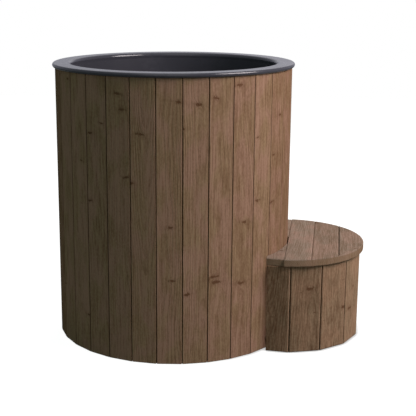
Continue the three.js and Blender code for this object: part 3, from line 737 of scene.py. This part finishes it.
# Drain fitting: a moulded flange with a threaded tail through the liner's floor, a rubber gasket under
# it, and a hexagonal locknut that clamps the floor and the base board from below.
PIPE_RADIUS = 0.016
TAIL_RADIUS = 0.021
FLANGE_RADIUS = 0.040
FLANGE_THICKNESS = 0.006
FLANGE_EDGE = 0.002
STRAINER_RADIUS = 0.030
STRAINER_THICKNESS = 0.004
FITTING_STEPS = 72
FITTING_COLOUR = (0.115, 0.120, 0.128, 1)
FITTING_WORN = (0.150, 0.155, 0.160, 1)
FITTING_ROUGH = (0.38, 0.55)
FITTING_GRAIN = 0.0007
RUBBER_BLACK = (0.012, 0.012, 0.013, 1)
RUBBER_BLOOM = (0.028, 0.028, 0.030, 1)
RUBBER_ROUGH = (0.7, 0.9)
RUBBER_GRAIN = 0.0006


def build_flange():
    """Turns the flange with its recess for the strainer, its bore and its tail."""
    low, high = drain_low.z, drain_high.z
    seat = high - STRAINER_THICKNESS
    under = high - FLANGE_THICKNESS
    bore = PIPE_RADIUS + FIT_GAP
    recess = STRAINER_RADIUS + FIT_GAP
    bm = bmesh.new()
    start = bm.verts.new((bore, 0, low))
    tip = draw_lines(bm, start, (TAIL_RADIUS, low), (TAIL_RADIUS, under), (FLANGE_RADIUS, under))
    tip = draw_lines(bm, tip, (FLANGE_RADIUS, high - FLANGE_EDGE))
    tip = draw_arc(bm, tip, (FLANGE_RADIUS - FLANGE_EDGE, 0, high - FLANGE_EDGE), (0, -1, 0), 90)
    tip = draw_lines(bm, tip, (recess, high), (recess, seat), (bore, seat))
    bm.edges.new((tip, start))
    spin_round(bm, (0, 0, 1), FITTING_STEPS)
    bmesh.ops.transform(bm, matrix=over_drain, verts=bm.verts[:])
    return bm


fitting_plastic = moulded_plastic("fitting_plastic", FITTING_COLOUR, FITTING_WORN, FITTING_ROUGH,
                                  FITTING_GRAIN)
flange = finish_piece(build_flange(), "moulded_flange", fitting_plastic, "tub", "fitting_plastic",
                      "drain_flange")
sharpen(flange)
dress_node("drain_locknut", fitting_plastic)
seal_rubber = moulded_plastic("seal_rubber", RUBBER_BLACK, RUBBER_BLOOM, RUBBER_ROUGH, RUBBER_GRAIN)
dress_node("drain_gasket", seal_rubber)

# Strainer: a loose grid of the same grey plastic, moulded in one with its knob. It drops into the flange's
# recess and is lifted out by the knob to be rinsed.
STRAINER_HOLE = 0.003
STRAINER_HOLE_CIRCLE = 0.011
STRAINER_HOLES = 8
STRAINER_HOLE_STEPS = 20
KNOB_RADIUS = 0.006
KNOB_HEIGHT = 0.010
KNOB_WAIST = 0.0012


def build_strainer():
    """Turns the strainer's disc and its waisted knob, before the holes are cut."""
    low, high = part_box("drain_strainer")
    top = high.z - KNOB_HEIGHT
    bm = bmesh.new()
    tip = bm.verts.new((0, 0, low.z))
    tip = draw_lines(bm, tip, (STRAINER_RADIUS, low.z), (STRAINER_RADIUS, top - FLANGE_EDGE / 2))
    tip = draw_lines(bm, tip, (STRAINER_RADIUS - FLANGE_EDGE / 2, top), (KNOB_RADIUS, top))
    tip = draw_lines(bm, tip, (KNOB_RADIUS - KNOB_WAIST, top + KNOB_HEIGHT / 2))
    tip = draw_lines(bm, tip, (KNOB_RADIUS, high.z - FLANGE_EDGE))
    tip = draw_arc(bm, tip, (KNOB_RADIUS - FLANGE_EDGE, 0, high.z - FLANGE_EDGE), (0, -1, 0), 90)
    draw_lines(bm, tip, (0, high.z))
    spin_round(bm, (0, 0, 1), FITTING_STEPS)
    bmesh.ops.transform(bm, matrix=over_drain, verts=bm.verts[:])
    return bm


strainer = finish_piece(build_strainer(), "moulded_strainer", fitting_plastic, "strainer",
                        "fitting_plastic", "drain_strainer")
holes = bmesh.new()
for number in range(STRAINER_HOLES):
    turn = Matrix.Rotation(CLOSING_ANGLE + 2 * math.pi * number / STRAINER_HOLES, 4, "Z")
    place = over_drain @ turn @ Matrix.Translation((STRAINER_HOLE_CIRCLE, 0, 0))
    add_rod(holes, STRAINER_HOLE, drain_low.z, drain_high.z + KNOB_HEIGHT, STRAINER_HOLE_STEPS, place)
cut_out(strainer, holes)
sharpen(strainer)

# Drain pipe: one length of grey plastic pipe, bent warm to run back under the floor. It is glued into the
# flange's tail at one end and into the valve's socket at the other.
PIPE_WALL = 0.0024
PIPE_BEND = 0.034
PIPE_BEND_STEPS = 14
PIPE_INSERT = 0.016
VALVE_STANDOFF = 0.010
valve_inlet = TUB_RADIUS * math.cos(closing_half) + VALVE_STANDOFF
drain_offset = math.hypot(drain_axis.x, drain_axis.y)


def extrude_loop(bm, edges, vec):
    """Draws a loop of edges out into a tube and returns the loop at its end."""
    made = bmesh.ops.extrude_edge_only(bm, edges=edges)["geom"]
    bmesh.ops.translate(bm, vec=vec, verts=[item for item in made if isinstance(item, bmesh.types.BMVert)])
    return [item for item in made if isinstance(item, bmesh.types.BMEdge)]


def build_drain_pipe():
    """Draws the pipe down from the drain, round its bend and out to the valve, and gives it its wall."""
    bend_top = PIPE_HEIGHT + PIPE_BEND
    end = valve_inlet + PIPE_INSERT
    bm = bmesh.new()
    top = Matrix.Translation((drain_offset, 0, drain_low.z + PIPE_INSERT))
    ring = bmesh.ops.create_circle(bm, segments=FITTING_STEPS // 2, radius=PIPE_RADIUS, matrix=top)
    loop = extrude_loop(bm, edges_of(ring["verts"]), (0, 0, bend_top - drain_low.z - PIPE_INSERT))
    bent = bmesh.ops.spin(bm, geom=loop, cent=(drain_offset + PIPE_BEND, 0, bend_top), axis=(0, -1, 0),
                          angle=math.pi / 2, steps=PIPE_BEND_STEPS)["geom_last"]
    loop = [item for item in bent if isinstance(item, bmesh.types.BMEdge)]
    extrude_loop(bm, loop, (end - drain_offset - PIPE_BEND, 0, 0))
    bmesh.ops.recalc_face_normals(bm, faces=bm.faces[:])
    bmesh.ops.solidify(bm, geom=bm.faces[:], thickness=PIPE_WALL)
    smooth(bm.faces)
    turn_about_z(bm, CLOSING_ANGLE)
    return bm


pipe = finish_piece(build_drain_pipe(), "bent_drain_pipe", fitting_plastic, "tub", "fitting_plastic",
                    "drain_pipe")
sharpen(pipe)

# Ball valve: a turned brass body with hexagon flats at its ends, a packing nut on its neck, and a
# chromed ball inside. The lever on its stem turns a quarter, from across the pipe to along it.
BODY_RADIUS = 0.030
BODY_LENGTH = 0.044
BODY_TAPER = 0.006
SOCKET_RADIUS = 0.0243
SPIGOT_RADIUS = 0.0167
SPIGOT_LENGTH = 0.036
PORT_RADIUS = 0.012
THREAD_PITCH = 0.0023
THREAD_DEPTH = 0.0011
THREADS = 9
HEX_RADIUS = 0.0262
HEX_LENGTH = 0.013
HEX_EDGE = 0.0012
NECK_RADIUS = 0.0123
NECK_HEIGHT = 0.008
PACKING_NUT = 0.0118
BRASS_BRIGHT = (0.62, 0.46, 0.22, 1)
BRASS_DULL = (0.36, 0.25, 0.11, 1)
BRASS_ROUGH = (0.26, 0.42)
CHROME_BRIGHT = (0.66, 0.67, 0.69, 1)
CHROME_DULL = (0.50, 0.51, 0.53, 1)
CHROME_ROUGH = (0.08, 0.18)
TOOL_MARKS = ((300, 2500, 300), 2.0)
DULL_PATCHES = ((55, 55, 55), 4.0)
METAL_RELIEF = (0.12, 0.0002)
valve_joint = next(joint for joint in frame["joints"] if joint["name"] == "valve_turn")
at_valve = Matrix.Translation(valve_joint["pos_m"]) @ to_back
inlet = -(PIPE_INSERT + BODY_TAPER + BODY_LENGTH / 2)


def add_hexagon(bm, radius, bottom, top, place=Matrix.Identity(4)):
    """Adds a hexagonal collar or nut with eased edges."""
    verts = add_rod(bm, radius, bottom, top, 6, place)
    ease_edges(bm, edges_of(verts), HEX_EDGE / 2, 2)


def build_valve_body():
    """Turns the body with its socket, belly and threaded spigot, and adds its hexagons and its neck."""
    socket_end = inlet + PIPE_INSERT
    half = BODY_LENGTH / 2
    spigot = half + BODY_TAPER
    outlet = spigot + SPIGOT_LENGTH
    thread_start = outlet - THREADS * THREAD_PITCH
    round_edge = BODY_TAPER / 2
    shoulder = BODY_RADIUS - round_edge
    bore = PIPE_RADIUS + FIT_GAP
    bm = bmesh.new()
    start = bm.verts.new((inlet, 0, bore))
    tip = draw_lines(bm, start, (inlet, SOCKET_RADIUS), (socket_end, SOCKET_RADIUS), (-half, shoulder))
    tip = draw_arc(bm, tip, (-half + round_edge, 0, shoulder), (0, 1, 0), 90)
    tip = draw_lines(bm, tip, (half - round_edge, BODY_RADIUS))
    tip = draw_arc(bm, tip, (half - round_edge, 0, shoulder), (0, 1, 0), 90)
    tip = draw_lines(bm, tip, (spigot, SPIGOT_RADIUS), (thread_start, SPIGOT_RADIUS))
    for turn in range(THREADS):
        crest = thread_start + turn * THREAD_PITCH
        root = (crest + THREAD_PITCH / 2, SPIGOT_RADIUS - THREAD_DEPTH)
        tip = draw_lines(bm, tip, root, (crest + THREAD_PITCH, SPIGOT_RADIUS))
    tip = draw_lines(bm, tip, (outlet, PORT_RADIUS), (socket_end, PORT_RADIUS), (socket_end, bore))
    bm.edges.new((tip, start))
    spin_round(bm, (1, 0, 0), FITTING_STEPS)
    along_x = Matrix.Rotation(math.pi / 2, 4, "Y")
    add_hexagon(bm, HEX_RADIUS, inlet + HEX_EDGE, inlet + HEX_LENGTH, along_x)
    add_hexagon(bm, HEX_RADIUS, half - HEX_EDGE, half + HEX_LENGTH / 2, along_x)
    neck = add_rod(bm, NECK_RADIUS, BODY_RADIUS / 2, BODY_RADIUS + NECK_HEIGHT / 2, FITTING_STEPS // 2)
    smooth({face for vert in neck for face in vert.link_faces})
    add_hexagon(bm, PACKING_NUT, BODY_RADIUS + NECK_HEIGHT / 2, BODY_RADIUS + NECK_HEIGHT)
    bmesh.ops.transform(bm, matrix=at_valve, verts=bm.verts[:])
    return bm


def metal_material(name, bright, dull, rough):
    """Machined metal: fine tool marks, and patches where the bright finish has dulled."""
    material, tree = new_material(name)
    tree.nodes["Principled BSDF"].inputs["Metallic"].default_value = 1.0
    place = add_node(tree, "ShaderNodeTexCoord").outputs["Object"]
    tool_marks = stretched_noise(tree, place, *TOOL_MARKS)
    patches = stretched_noise(tree, place, *DULL_PATCHES)
    colour = mix(tree, ramp(tree, patches, *PATCH_EDGE), bright, dull)
    set_finish(tree, colour, ramp(tree, patches, *NOISE_RANGE, *rough), tool_marks, *METAL_RELIEF)
    return material


valve_brass = metal_material("valve_brass", BRASS_BRIGHT, BRASS_DULL, BRASS_ROUGH)
valve_body = finish_piece(build_valve_body(), "turned_valve_body", valve_brass, "tub", "valve_brass",
                          "valve_body")
sharpen(valve_body)
dress_node("valve_ball", metal_material("ball_chrome", CHROME_BRIGHT, CHROME_DULL, CHROME_ROUGH))

# Lever: a flat steel bar, powder-coated, with its grip dipped in vinyl. A nut holds it on the valve's
# stem, which turns the ball.
LEVER_LENGTH = 0.105
LEVER_WIDTH = 0.018
LEVER_THICKNESS = 0.005
LEVER_EDGE = 0.0012
GRIP_LENGTH = 0.058
GRIP_PROUD = 0.0014
STEM_RADIUS = 0.006
BALL_RADIUS = 0.019
LEVER_NUT = 0.009
LEVER_COLOUR = (0.030, 0.031, 0.035, 1)
LEVER_WORN = (0.060, 0.061, 0.066, 1)
LEVER_ROUGH = (0.35, 0.5)
LEVER_GRAIN = 0.0016


def is_level(edge):
    """Tells an edge that runs round a face of the piece from one that stands upright."""
    return abs(edge.verts[0].co.z - edge.verts[1].co.z) < FIT_GAP


def add_bar(bm, width, start, end, bottom, top, edge):
    """Adds a flat bar with round ends that runs along -Y from start to end."""
    kept = set(bm.verts)
    first = bm.verts.new((width / 2, -start, 0))
    tip = draw_arc(bm, first, (0, -start, 0), (0, 0, 1), 180)
    tip = draw_line(bm, tip, (-width / 2, -end, 0))
    tip = draw_arc(bm, tip, (0, -end, 0), (0, 0, 1), 180)
    bm.edges.new((tip, first))
    outline = [line for line in bm.edges if line.verts[0] not in kept]
    face = bmesh.ops.contextual_create(bm, geom=outline)["faces"][0]
    raise_face(bm, face, top - bottom)
    verts = [vert for vert in bm.verts if vert not in kept]
    bmesh.ops.translate(bm, vec=(0, 0, bottom), verts=verts)
    level = [line for line in bm.edges if line.verts[0] not in kept and is_level(line)]
    ease_edges(bm, level, edge, 3)


def build_lever():
    """Puts the bar, its grip, the stem down to the ball and the nut together."""
    bottom = BODY_RADIUS + NECK_HEIGHT + FIT_GAP
    top = bottom + LEVER_THICKNESS
    end = LEVER_LENGTH - LEVER_WIDTH / 2
    bm = bmesh.new()
    add_bar(bm, LEVER_WIDTH, 0, end, bottom, top, LEVER_EDGE)
    grip_start = end - GRIP_LENGTH + LEVER_WIDTH / 2
    add_bar(bm, LEVER_WIDTH + 2 * GRIP_PROUD, grip_start, end - GRIP_PROUD,
            bottom - GRIP_PROUD, top + GRIP_PROUD, LEVER_THICKNESS / 2)
    add_rod(bm, STEM_RADIUS, BALL_RADIUS + FIT_GAP, bottom, FITTING_STEPS // 2)
    nut_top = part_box("valve_lever")[1].z - PIPE_HEIGHT
    add_hexagon(bm, LEVER_NUT, top, nut_top)
    bmesh.ops.transform(bm, matrix=at_valve, verts=bm.verts[:])
    return bm


lever_paint = moulded_plastic("lever_paint", LEVER_COLOUR, LEVER_WORN, LEVER_ROUGH, LEVER_GRAIN)
finish_piece(build_lever(), "dipped_valve_lever", lever_paint, "valve_handle", "lever_paint", "valve_lever")

# Step formers: two plywood plates inside the step, one under the tread and one near the floor, which
# the step's staves and tread boards are screwed to.
for node_name in ("step_upper_former", "step_lower_former"):
    dress_node(node_name, plywood)

# Step staves: the same timber in wider boards, round a step that nests against the tub's side. The
# first one is cut off square beside the tub.
STEP_CENTRE = Vector((0.429, 0, 0))
STEP_TURN = math.radians(-4.4)
STEP_RADIUS = 0.289
STEP_STAVE_COUNT = 9
STEP_STAVE_WIDTH = 0.118
STEP_ARRIS = 0.005
STEP_TUB_GAP = 0.0008
STEP_PALE = (0.360, 0.225, 0.144, 1)
STEP_GREY = (0.340, 0.235, 0.150, 1)
STEP_DARK = (0.152, 0.078, 0.044, 1)
# A painted highlight along one eased edge of each step stave
STEP_EDGE_HIGHLIGHT = (0.470, 0.305, 0.205, 1)
STEP_RINGS = 0.006
STEP_SEED = 23
STEP_LEAN = 0.14  # boards sawn across the log's run, so that their rings close in arches
STEP_TIP_CUT = 0.019  # off the thin ends where the tread's round runs into the tub
STEP_TIP_OVERHANG = 0.004
TREAD_RADIUS = 0.29695
STEP_KNOTS = {  # height, distance across and size
    2: ((0.24, 0.014, 0.0075),),
    3: ((0.15, 0.050, 0.0055),),
    4: ((0.13, -0.018, 0.005),),
}
step_half = math.asin(STEP_STAVE_WIDTH / 2 / STEP_RADIUS)
tub_cut = TUB_RADIUS + STEP_TUB_GAP
step_place = Matrix.Translation(STEP_CENTRE) @ Matrix.Rotation(STEP_TURN, 4, "Z")


def thin_end(side):
    """Where the tread's round runs into the tub, in front (-1) or behind (1), along the step's own X."""
    centre = STEP_CENTRE.x
    reach = (tub_cut ** 2 - TREAD_RADIUS ** 2 - centre ** 2) / (2 * centre)
    half = math.sqrt(TREAD_RADIUS ** 2 - reach ** 2)
    return reach * math.cos(STEP_TURN) + side * half * math.sin(STEP_TURN)


def cut_end(bm, end):
    """Cuts a board off square, and keeps the part beyond the cut."""
    geom = bm.verts[:] + bm.edges[:] + bm.faces[:]
    cut = bmesh.ops.bisect_plane(bm, geom=geom, plane_co=(end, 0, 0), plane_no=(1, 0, 0), clear_inner=True)
    edges = [item for item in cut["geom_cut"] if isinstance(item, bmesh.types.BMEdge)]
    bmesh.ops.contextual_create(bm, geom=edges)


step_timber = timber_material("step_timber", STEP_PALE, STEP_GREY, STEP_DARK, STAVE_KNOT, STEP_RINGS,
                              STEP_EDGE_HIGHLIGHT)
step_saw = random.Random(STEP_SEED)
step_low, step_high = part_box("step_stave_5")
for number in range(1, STEP_STAVE_COUNT + 1):
    section = stave_section(STEP_RADIUS, step_half, STAVE_THICKNESS, number < STEP_STAVE_COUNT, number > 1)
    knots = STEP_KNOTS.get(number, ())
    stave = build_stave(section, step_low.z, step_high.z, STEP_ARRIS, step_saw, step_saw.random(),
                        knots=knots, most_lean=STEP_LEAN)
    turn_about_z(stave, step_half * (2 * number - 1 - STEP_STAVE_COUNT))
    if number == 1:
        cut_end(stave, thin_end(-1) + STEP_TIP_CUT + STEP_TIP_OVERHANG)
    bmesh.ops.transform(stave, matrix=step_place, verts=stave.verts[:])
    label = f"step_stave_{number}"
    finish_piece(stave, f"planed_{label}", step_timber, "step", "step_timber", label)

# Tread: thick boards laid side by side over the formers and cut to one round, with eased edges. The
# tub's side parts the first board into a front and a back corner.
TREAD_THICKNESS = 0.028
TREAD_WIDTH = 0.0947
TREAD_GAP = 0.0006
TREAD_ROUNDING = 0.004
JOINT_ARRIS = 0.0010
JOINT_GAP = 0.0001
CORNER_SETBACK = 0.007
CORNER_TIP_CUT = 0.050  # off the corner boards' thin ends, to each side of the tub's axis
TREAD_ARC_STEP = 1.5  # degrees
TREAD_PALE = (0.304, 0.206, 0.162, 1)
TREAD_GREY = (0.277, 0.211, 0.167, 1)
TREAD_DARK = (0.130, 0.079, 0.046, 1)
END_GRAIN = (0.262, 0.158, 0.088, 1)
TREAD_TONES = (0.0, 0.6, 0.5)
TREAD_SEED = 41
tread_start = tub_cut - STEP_CENTRE.x * math.cos(STEP_TURN) + FIT_GAP
tread_pitch = TREAD_WIDTH + TREAD_GAP
tread_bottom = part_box("tread_middle")[0].z
tub_axis = Matrix.Rotation(-STEP_TURN, 3, "Z") @ -STEP_CENTRE


def turn_of(point, centre):
    """Degrees round a centre to a point, from the step's own X."""
    return math.degrees(math.atan2(point.y - centre.y, point.x - centre.x))


def draw_round(bm, tip, centre, end):
    """Draws an arc on to another point at the same distance from its centre."""
    sweep = (turn_of(end, centre) - turn_of(tip.co, centre) + 180) % 360 - 180
    return draw_arc(bm, tip, centre, (0, 0, 1), sweep, TREAD_ARC_STEP)


def on_round(offset, side, radius=TREAD_RADIUS, centre=Vector()):
    """The point on a round at some distance along the step's own X, on its front (-1) or back (1) side."""
    half = math.sqrt(max(radius ** 2 - (offset - centre.x) ** 2, 0))
    return Vector((offset, centre.y + side * half, 0))


def strip_outline(bm, start, end):
    """Draws a board between two straight joints, or between one joint and the round's far side."""
    first = bm.verts.new(on_round(start, -1))
    tip = draw_round(bm, first, Vector(), on_round(end, -1))
    if end < TREAD_RADIUS:
        tip = draw_line(bm, tip, on_round(end, 1))
    tip = draw_round(bm, tip, Vector(), on_round(start, 1))
    bm.edges.new((tip, first))


def corner_outline(bm, side, end):
    """Draws the corner board in front of (-1) or behind (1) the tub, with its thin ends cut off."""
    radius = TREAD_RADIUS - CORNER_SETBACK
    start = thin_end(side) + STEP_TIP_CUT
    inner_end = tub_axis.y + side * CORNER_TIP_CUT
    beside_tub = tub_axis.x + math.sqrt(tub_cut ** 2 - CORNER_TIP_CUT ** 2)
    first = bm.verts.new(on_round(start, side, radius))
    tip = draw_round(bm, first, Vector(), on_round(end, side, radius))
    tip = draw_line(bm, tip, (end, inner_end, 0))
    tip = draw_line(bm, tip, (beside_tub, inner_end, 0))
    tip = draw_round(bm, tip, tub_axis, on_round(start, side, tub_cut, tub_axis))
    bm.edges.new((tip, first))


def raise_tread(bm, saw, tone):
    """Makes a drawn outline a thick board, eases its edges and marks its joints and its darker end
    grain, and puts it in place."""
    face = bmesh.ops.contextual_create(bm, geom=bm.edges[:])["faces"][0]
    raise_face(bm, face, TREAD_THICKNESS)
    bmesh.ops.recalc_face_normals(bm, faces=bm.faces[:])
    inside = TREAD_RADIUS - CORNER_SETBACK - TREAD_ROUNDING
    level = [edge for edge in bm.edges if is_level(edge)]
    rounded = [edge for edge in level if min(vert.co.xy.length for vert in edge.verts) > inside]
    joints = [edge for edge in level if edge not in rounded]
    ease_edges(bm, rounded, TREAD_ROUNDING, ARRIS_STEPS)
    joints = [edge for edge in joints if edge.is_valid]
    ease_edges(bm, joints, JOINT_ARRIS, ARRIS_STEPS)
    lying = Matrix(((0, 0, 1), (1, 0, 0), (0, 1, 0)))
    mark_log(bm, bm.verts[:], saw, tone, TREAD_THICKNESS, lying)
    layers = bm.verts.layers.float
    for vert in bm.verts:
        depth = TREAD_THICKNESS - vert.co.z
        if vert.co.xy.length < inside:
            vert[layers["groove"]] = min(depth / JOINT_ARRIS, 1)
        else:
            vert[layers["across"]] = min(depth / TREAD_ROUNDING, 1)
    bmesh.ops.translate(bm, vec=(0, 0, tread_bottom), verts=bm.verts[:])
    bmesh.ops.transform(bm, matrix=step_place, verts=bm.verts[:])


tread_timber = timber_material("tread_timber", TREAD_PALE, TREAD_GREY, TREAD_DARK, STAVE_KNOT, STEP_RINGS,
                               END_GRAIN)
tread_saw = random.Random(TREAD_SEED)
corner_end = tread_start - JOINT_GAP
for label, side in (("tread_front_corner", -1), ("tread_back_corner", 1)):
    board = new_board()
    corner_outline(board, side, corner_end)
    raise_tread(board, tread_saw, TREAD_TONES[0])
    finish_piece(board, f"round_{label}", tread_timber, "step", "step_timber", label)
for number, label in enumerate(("tread_inner", "tread_middle", "tread_outer")):
    start = tread_start + number * tread_pitch
    board = new_board()
    strip_outline(board, start, min(start + tread_pitch - JOINT_GAP, TREAD_RADIUS))
    raise_tread(board, tread_saw, TREAD_TONES[number])
    finish_piece(board, f"round_{label}", tread_timber, "step", "step_timber", label)

# Camera: at a standing person's shoulder height, a few steps in front of the tub and a little to the
# right, looking slightly down at it.
CAMERA_TURN = math.radians(4.94)
CAMERA_DISTANCE = 3.6818
CAMERA_HEIGHT = 1.3560
CAMERA_DIP = 0.2379
CAMERA_SENSOR = 36.0  # millimetres wide
CAMERA_LENS = 85.134
CAMERA_SHIFT = 0.0829
camera_back = CAMERA_DISTANCE * math.cos(CAMERA_TURN)
camera_right = CAMERA_DISTANCE * math.sin(CAMERA_TURN)

camera_data = bpy.data.cameras.new("camera")
camera_data.sensor_width = CAMERA_SENSOR
camera_data.lens = CAMERA_LENS
camera_data.shift_x = CAMERA_SHIFT
camera = bpy.data.objects.new("camera", camera_data)
camera.location = (camera_right, -camera_back, CAMERA_HEIGHT)
camera.rotation_euler = (math.pi / 2 - CAMERA_DIP, 0, CAMERA_TURN)
bpy.context.scene.collection.objects.link(camera)
bpy.context.scene.camera = camera

# Studio: a white floor whose glow carries a soft painted shade close to the step, a broad soft lamp
# from the right, one behind the tub and an even fill. Glossy surfaces mirror a plain surround, which is
# bright overhead and behind the tub, and darker to the sides and near the floor.
FLOOR_SIZE = 14.0
FLOOR_GREY = (0.20, 0.20, 0.20, 1)
FLOOR_GLOW = 0.965
CONTACT_GLOW = 0.40
CONTACT_REACH = 0.018
CONTACT_START = 0.10  # along X, from where the shade deepens towards the step
CONTACT_EDGE = (0.4, 1.0)
CONTACT_SAMPLES = 16
FILL_COLOUR = (0.196, 0.264, 0.237, 1)
SHEEN_LEFT = (0.56, 0.56, 0.61, 1)
SHEEN_RIGHT = (0.74, 0.73, 0.79, 1)
SHEEN_ABOVE = (0.80, 0.80, 0.86, 1)
SHEEN_SIDES = (0.30, 0.30, 0.36, 1)
SHEEN_SHIFT = 0.06
SIDE_FADE = (0.18, 0.45)
RIGHT_FADE = (-0.2, 0.1)
BACK_FADE = (0.6, 0.95)
HORIZON_FADE = (0.05, 0.13)
WHITE = (1, 1, 1, 1)
KEY_TURN = math.radians(65)  # to the right of the camera's direction
KEY_RISE = math.radians(38)
KEY_POWER = 150.0
BACK_TURN = math.radians(170)
BACK_RISE = math.radians(25)
BACK_POWER = 80.0
LAMP_AIM = Vector((0, 0, 0.5))
LAMP_DISTANCE = 4.0
LAMP_SIZE = 2.4
LAMP_COLOUR = (1.0, 0.91, 0.91)

floor_mesh = bmesh.new()
bmesh.ops.create_grid(floor_mesh, x_segments=1, y_segments=1, size=FLOOR_SIZE / 2)
mesh = bpy.data.meshes.new("studio_floor")
floor_mesh.to_mesh(mesh)
floor_mesh.free()
floor = bpy.data.objects.new("studio_floor", mesh)
bpy.context.scene.collection.objects.link(floor)
floor_material, tree = new_material("studio_floor", specular=0.0)
shader = tree.nodes["Principled BSDF"]
shader.inputs["Base Color"].default_value = FLOOR_GREY
shader.inputs["Roughness"].default_value = 1.0
shader.inputs["Emission Color"].default_value = WHITE
# Where the floor lies close to a part, its glow is darkened, the more so towards the step: a painted shade
contact = add_node(tree, "ShaderNodeAmbientOcclusion", {"Distance": CONTACT_REACH}, samples=CONTACT_SAMPLES)
floor_place = add_node(tree, "ShaderNodeTexCoord").outputs["Object"]
floor_x = add_node(tree, "ShaderNodeSeparateXYZ", {0: floor_place}).outputs["X"]
step_shade = ramp(tree, floor_x, CONTACT_START, STEP_CENTRE.x, FLOOR_GLOW, CONTACT_GLOW)
in_view = add_node(tree, "ShaderNodeLightPath").outputs["Is Camera Ray"]
shaded_glow = ramp(tree, contact.outputs["AO"], *CONTACT_EDGE, step_shade, FLOOR_GLOW)
glow = calc(tree, "MULTIPLY", in_view, shaded_glow)
tree.links.new(glow, shader.inputs["Emission Strength"])
mesh.materials.append(floor_material)

world = bpy.data.worlds.new("studio")
world.use_nodes = True
tree = world.node_tree
path = add_node(tree, "ShaderNodeLightPath").outputs
toward = add_node(tree, "ShaderNodeTexCoord").outputs["Generated"]
sideways, backwards, upwards = add_node(tree, "ShaderNodeSeparateXYZ", {0: toward}).outputs
aside = ramp(tree, calc(tree, "ABSOLUTE", calc(tree, "ADD", sideways, SHEEN_SHIFT)), *SIDE_FADE)
horizon = ramp(tree, upwards, *HORIZON_FADE, 1.0, 0.0)
bright_end = mix(tree, ramp(tree, sideways, *RIGHT_FADE), SHEEN_LEFT, SHEEN_RIGHT)
middle = mix(tree, ramp(tree, backwards, *BACK_FADE), SHEEN_ABOVE, bright_end)
sheen = mix(tree, calc(tree, "MAXIMUM", aside, horizon), middle, SHEEN_SIDES)
light = mix(tree, path["Is Glossy Ray"], FILL_COLOUR, sheen)
tree.links.new(mix(tree, path["Is Camera Ray"], light, WHITE), tree.nodes["Background"].inputs["Color"])
bpy.context.scene.world = world


def add_lamp(name, turn, rise, power):
    """Hangs a round soft lamp that is aimed at the middle of the tub."""
    light = bpy.data.lights.new(name, "AREA")
    light.shape = "DISK"
    light.size = LAMP_SIZE
    light.energy = power
    light.color = LAMP_COLOUR
    lamp = bpy.data.objects.new(name, light)
    heading = CAMERA_TURN - math.pi / 2 + turn
    level = math.cos(rise)
    direction = Vector((math.cos(heading) * level, math.sin(heading) * level, math.sin(rise)))
    lamp.location = LAMP_AIM + direction * LAMP_DISTANCE
    lamp.rotation_euler = direction.to_track_quat("Z", "Y").to_euler()
    bpy.context.scene.collection.objects.link(lamp)
    return lamp


key = add_lamp("key_lamp", KEY_TURN, KEY_RISE, KEY_POWER)
back = add_lamp("back_lamp", BACK_TURN, BACK_RISE, BACK_POWER)
back.visible_glossy = False

# The two pieces of the step at the tub's front cast no shade under the main lamp
key_blockers = bpy.data.collections.new("key_blockers")
for name in ("planed_step_stave_1", "round_tread_front_corner"):
    key_blockers.objects.link(bpy.data.objects[name])
key.light_linking.blocker_collection = key_blockers
for item in key_blockers.collection_objects:
    item.light_linking.link_state = "EXCLUDE"

bpy.context.scene.view_settings.view_transform = "Standard"
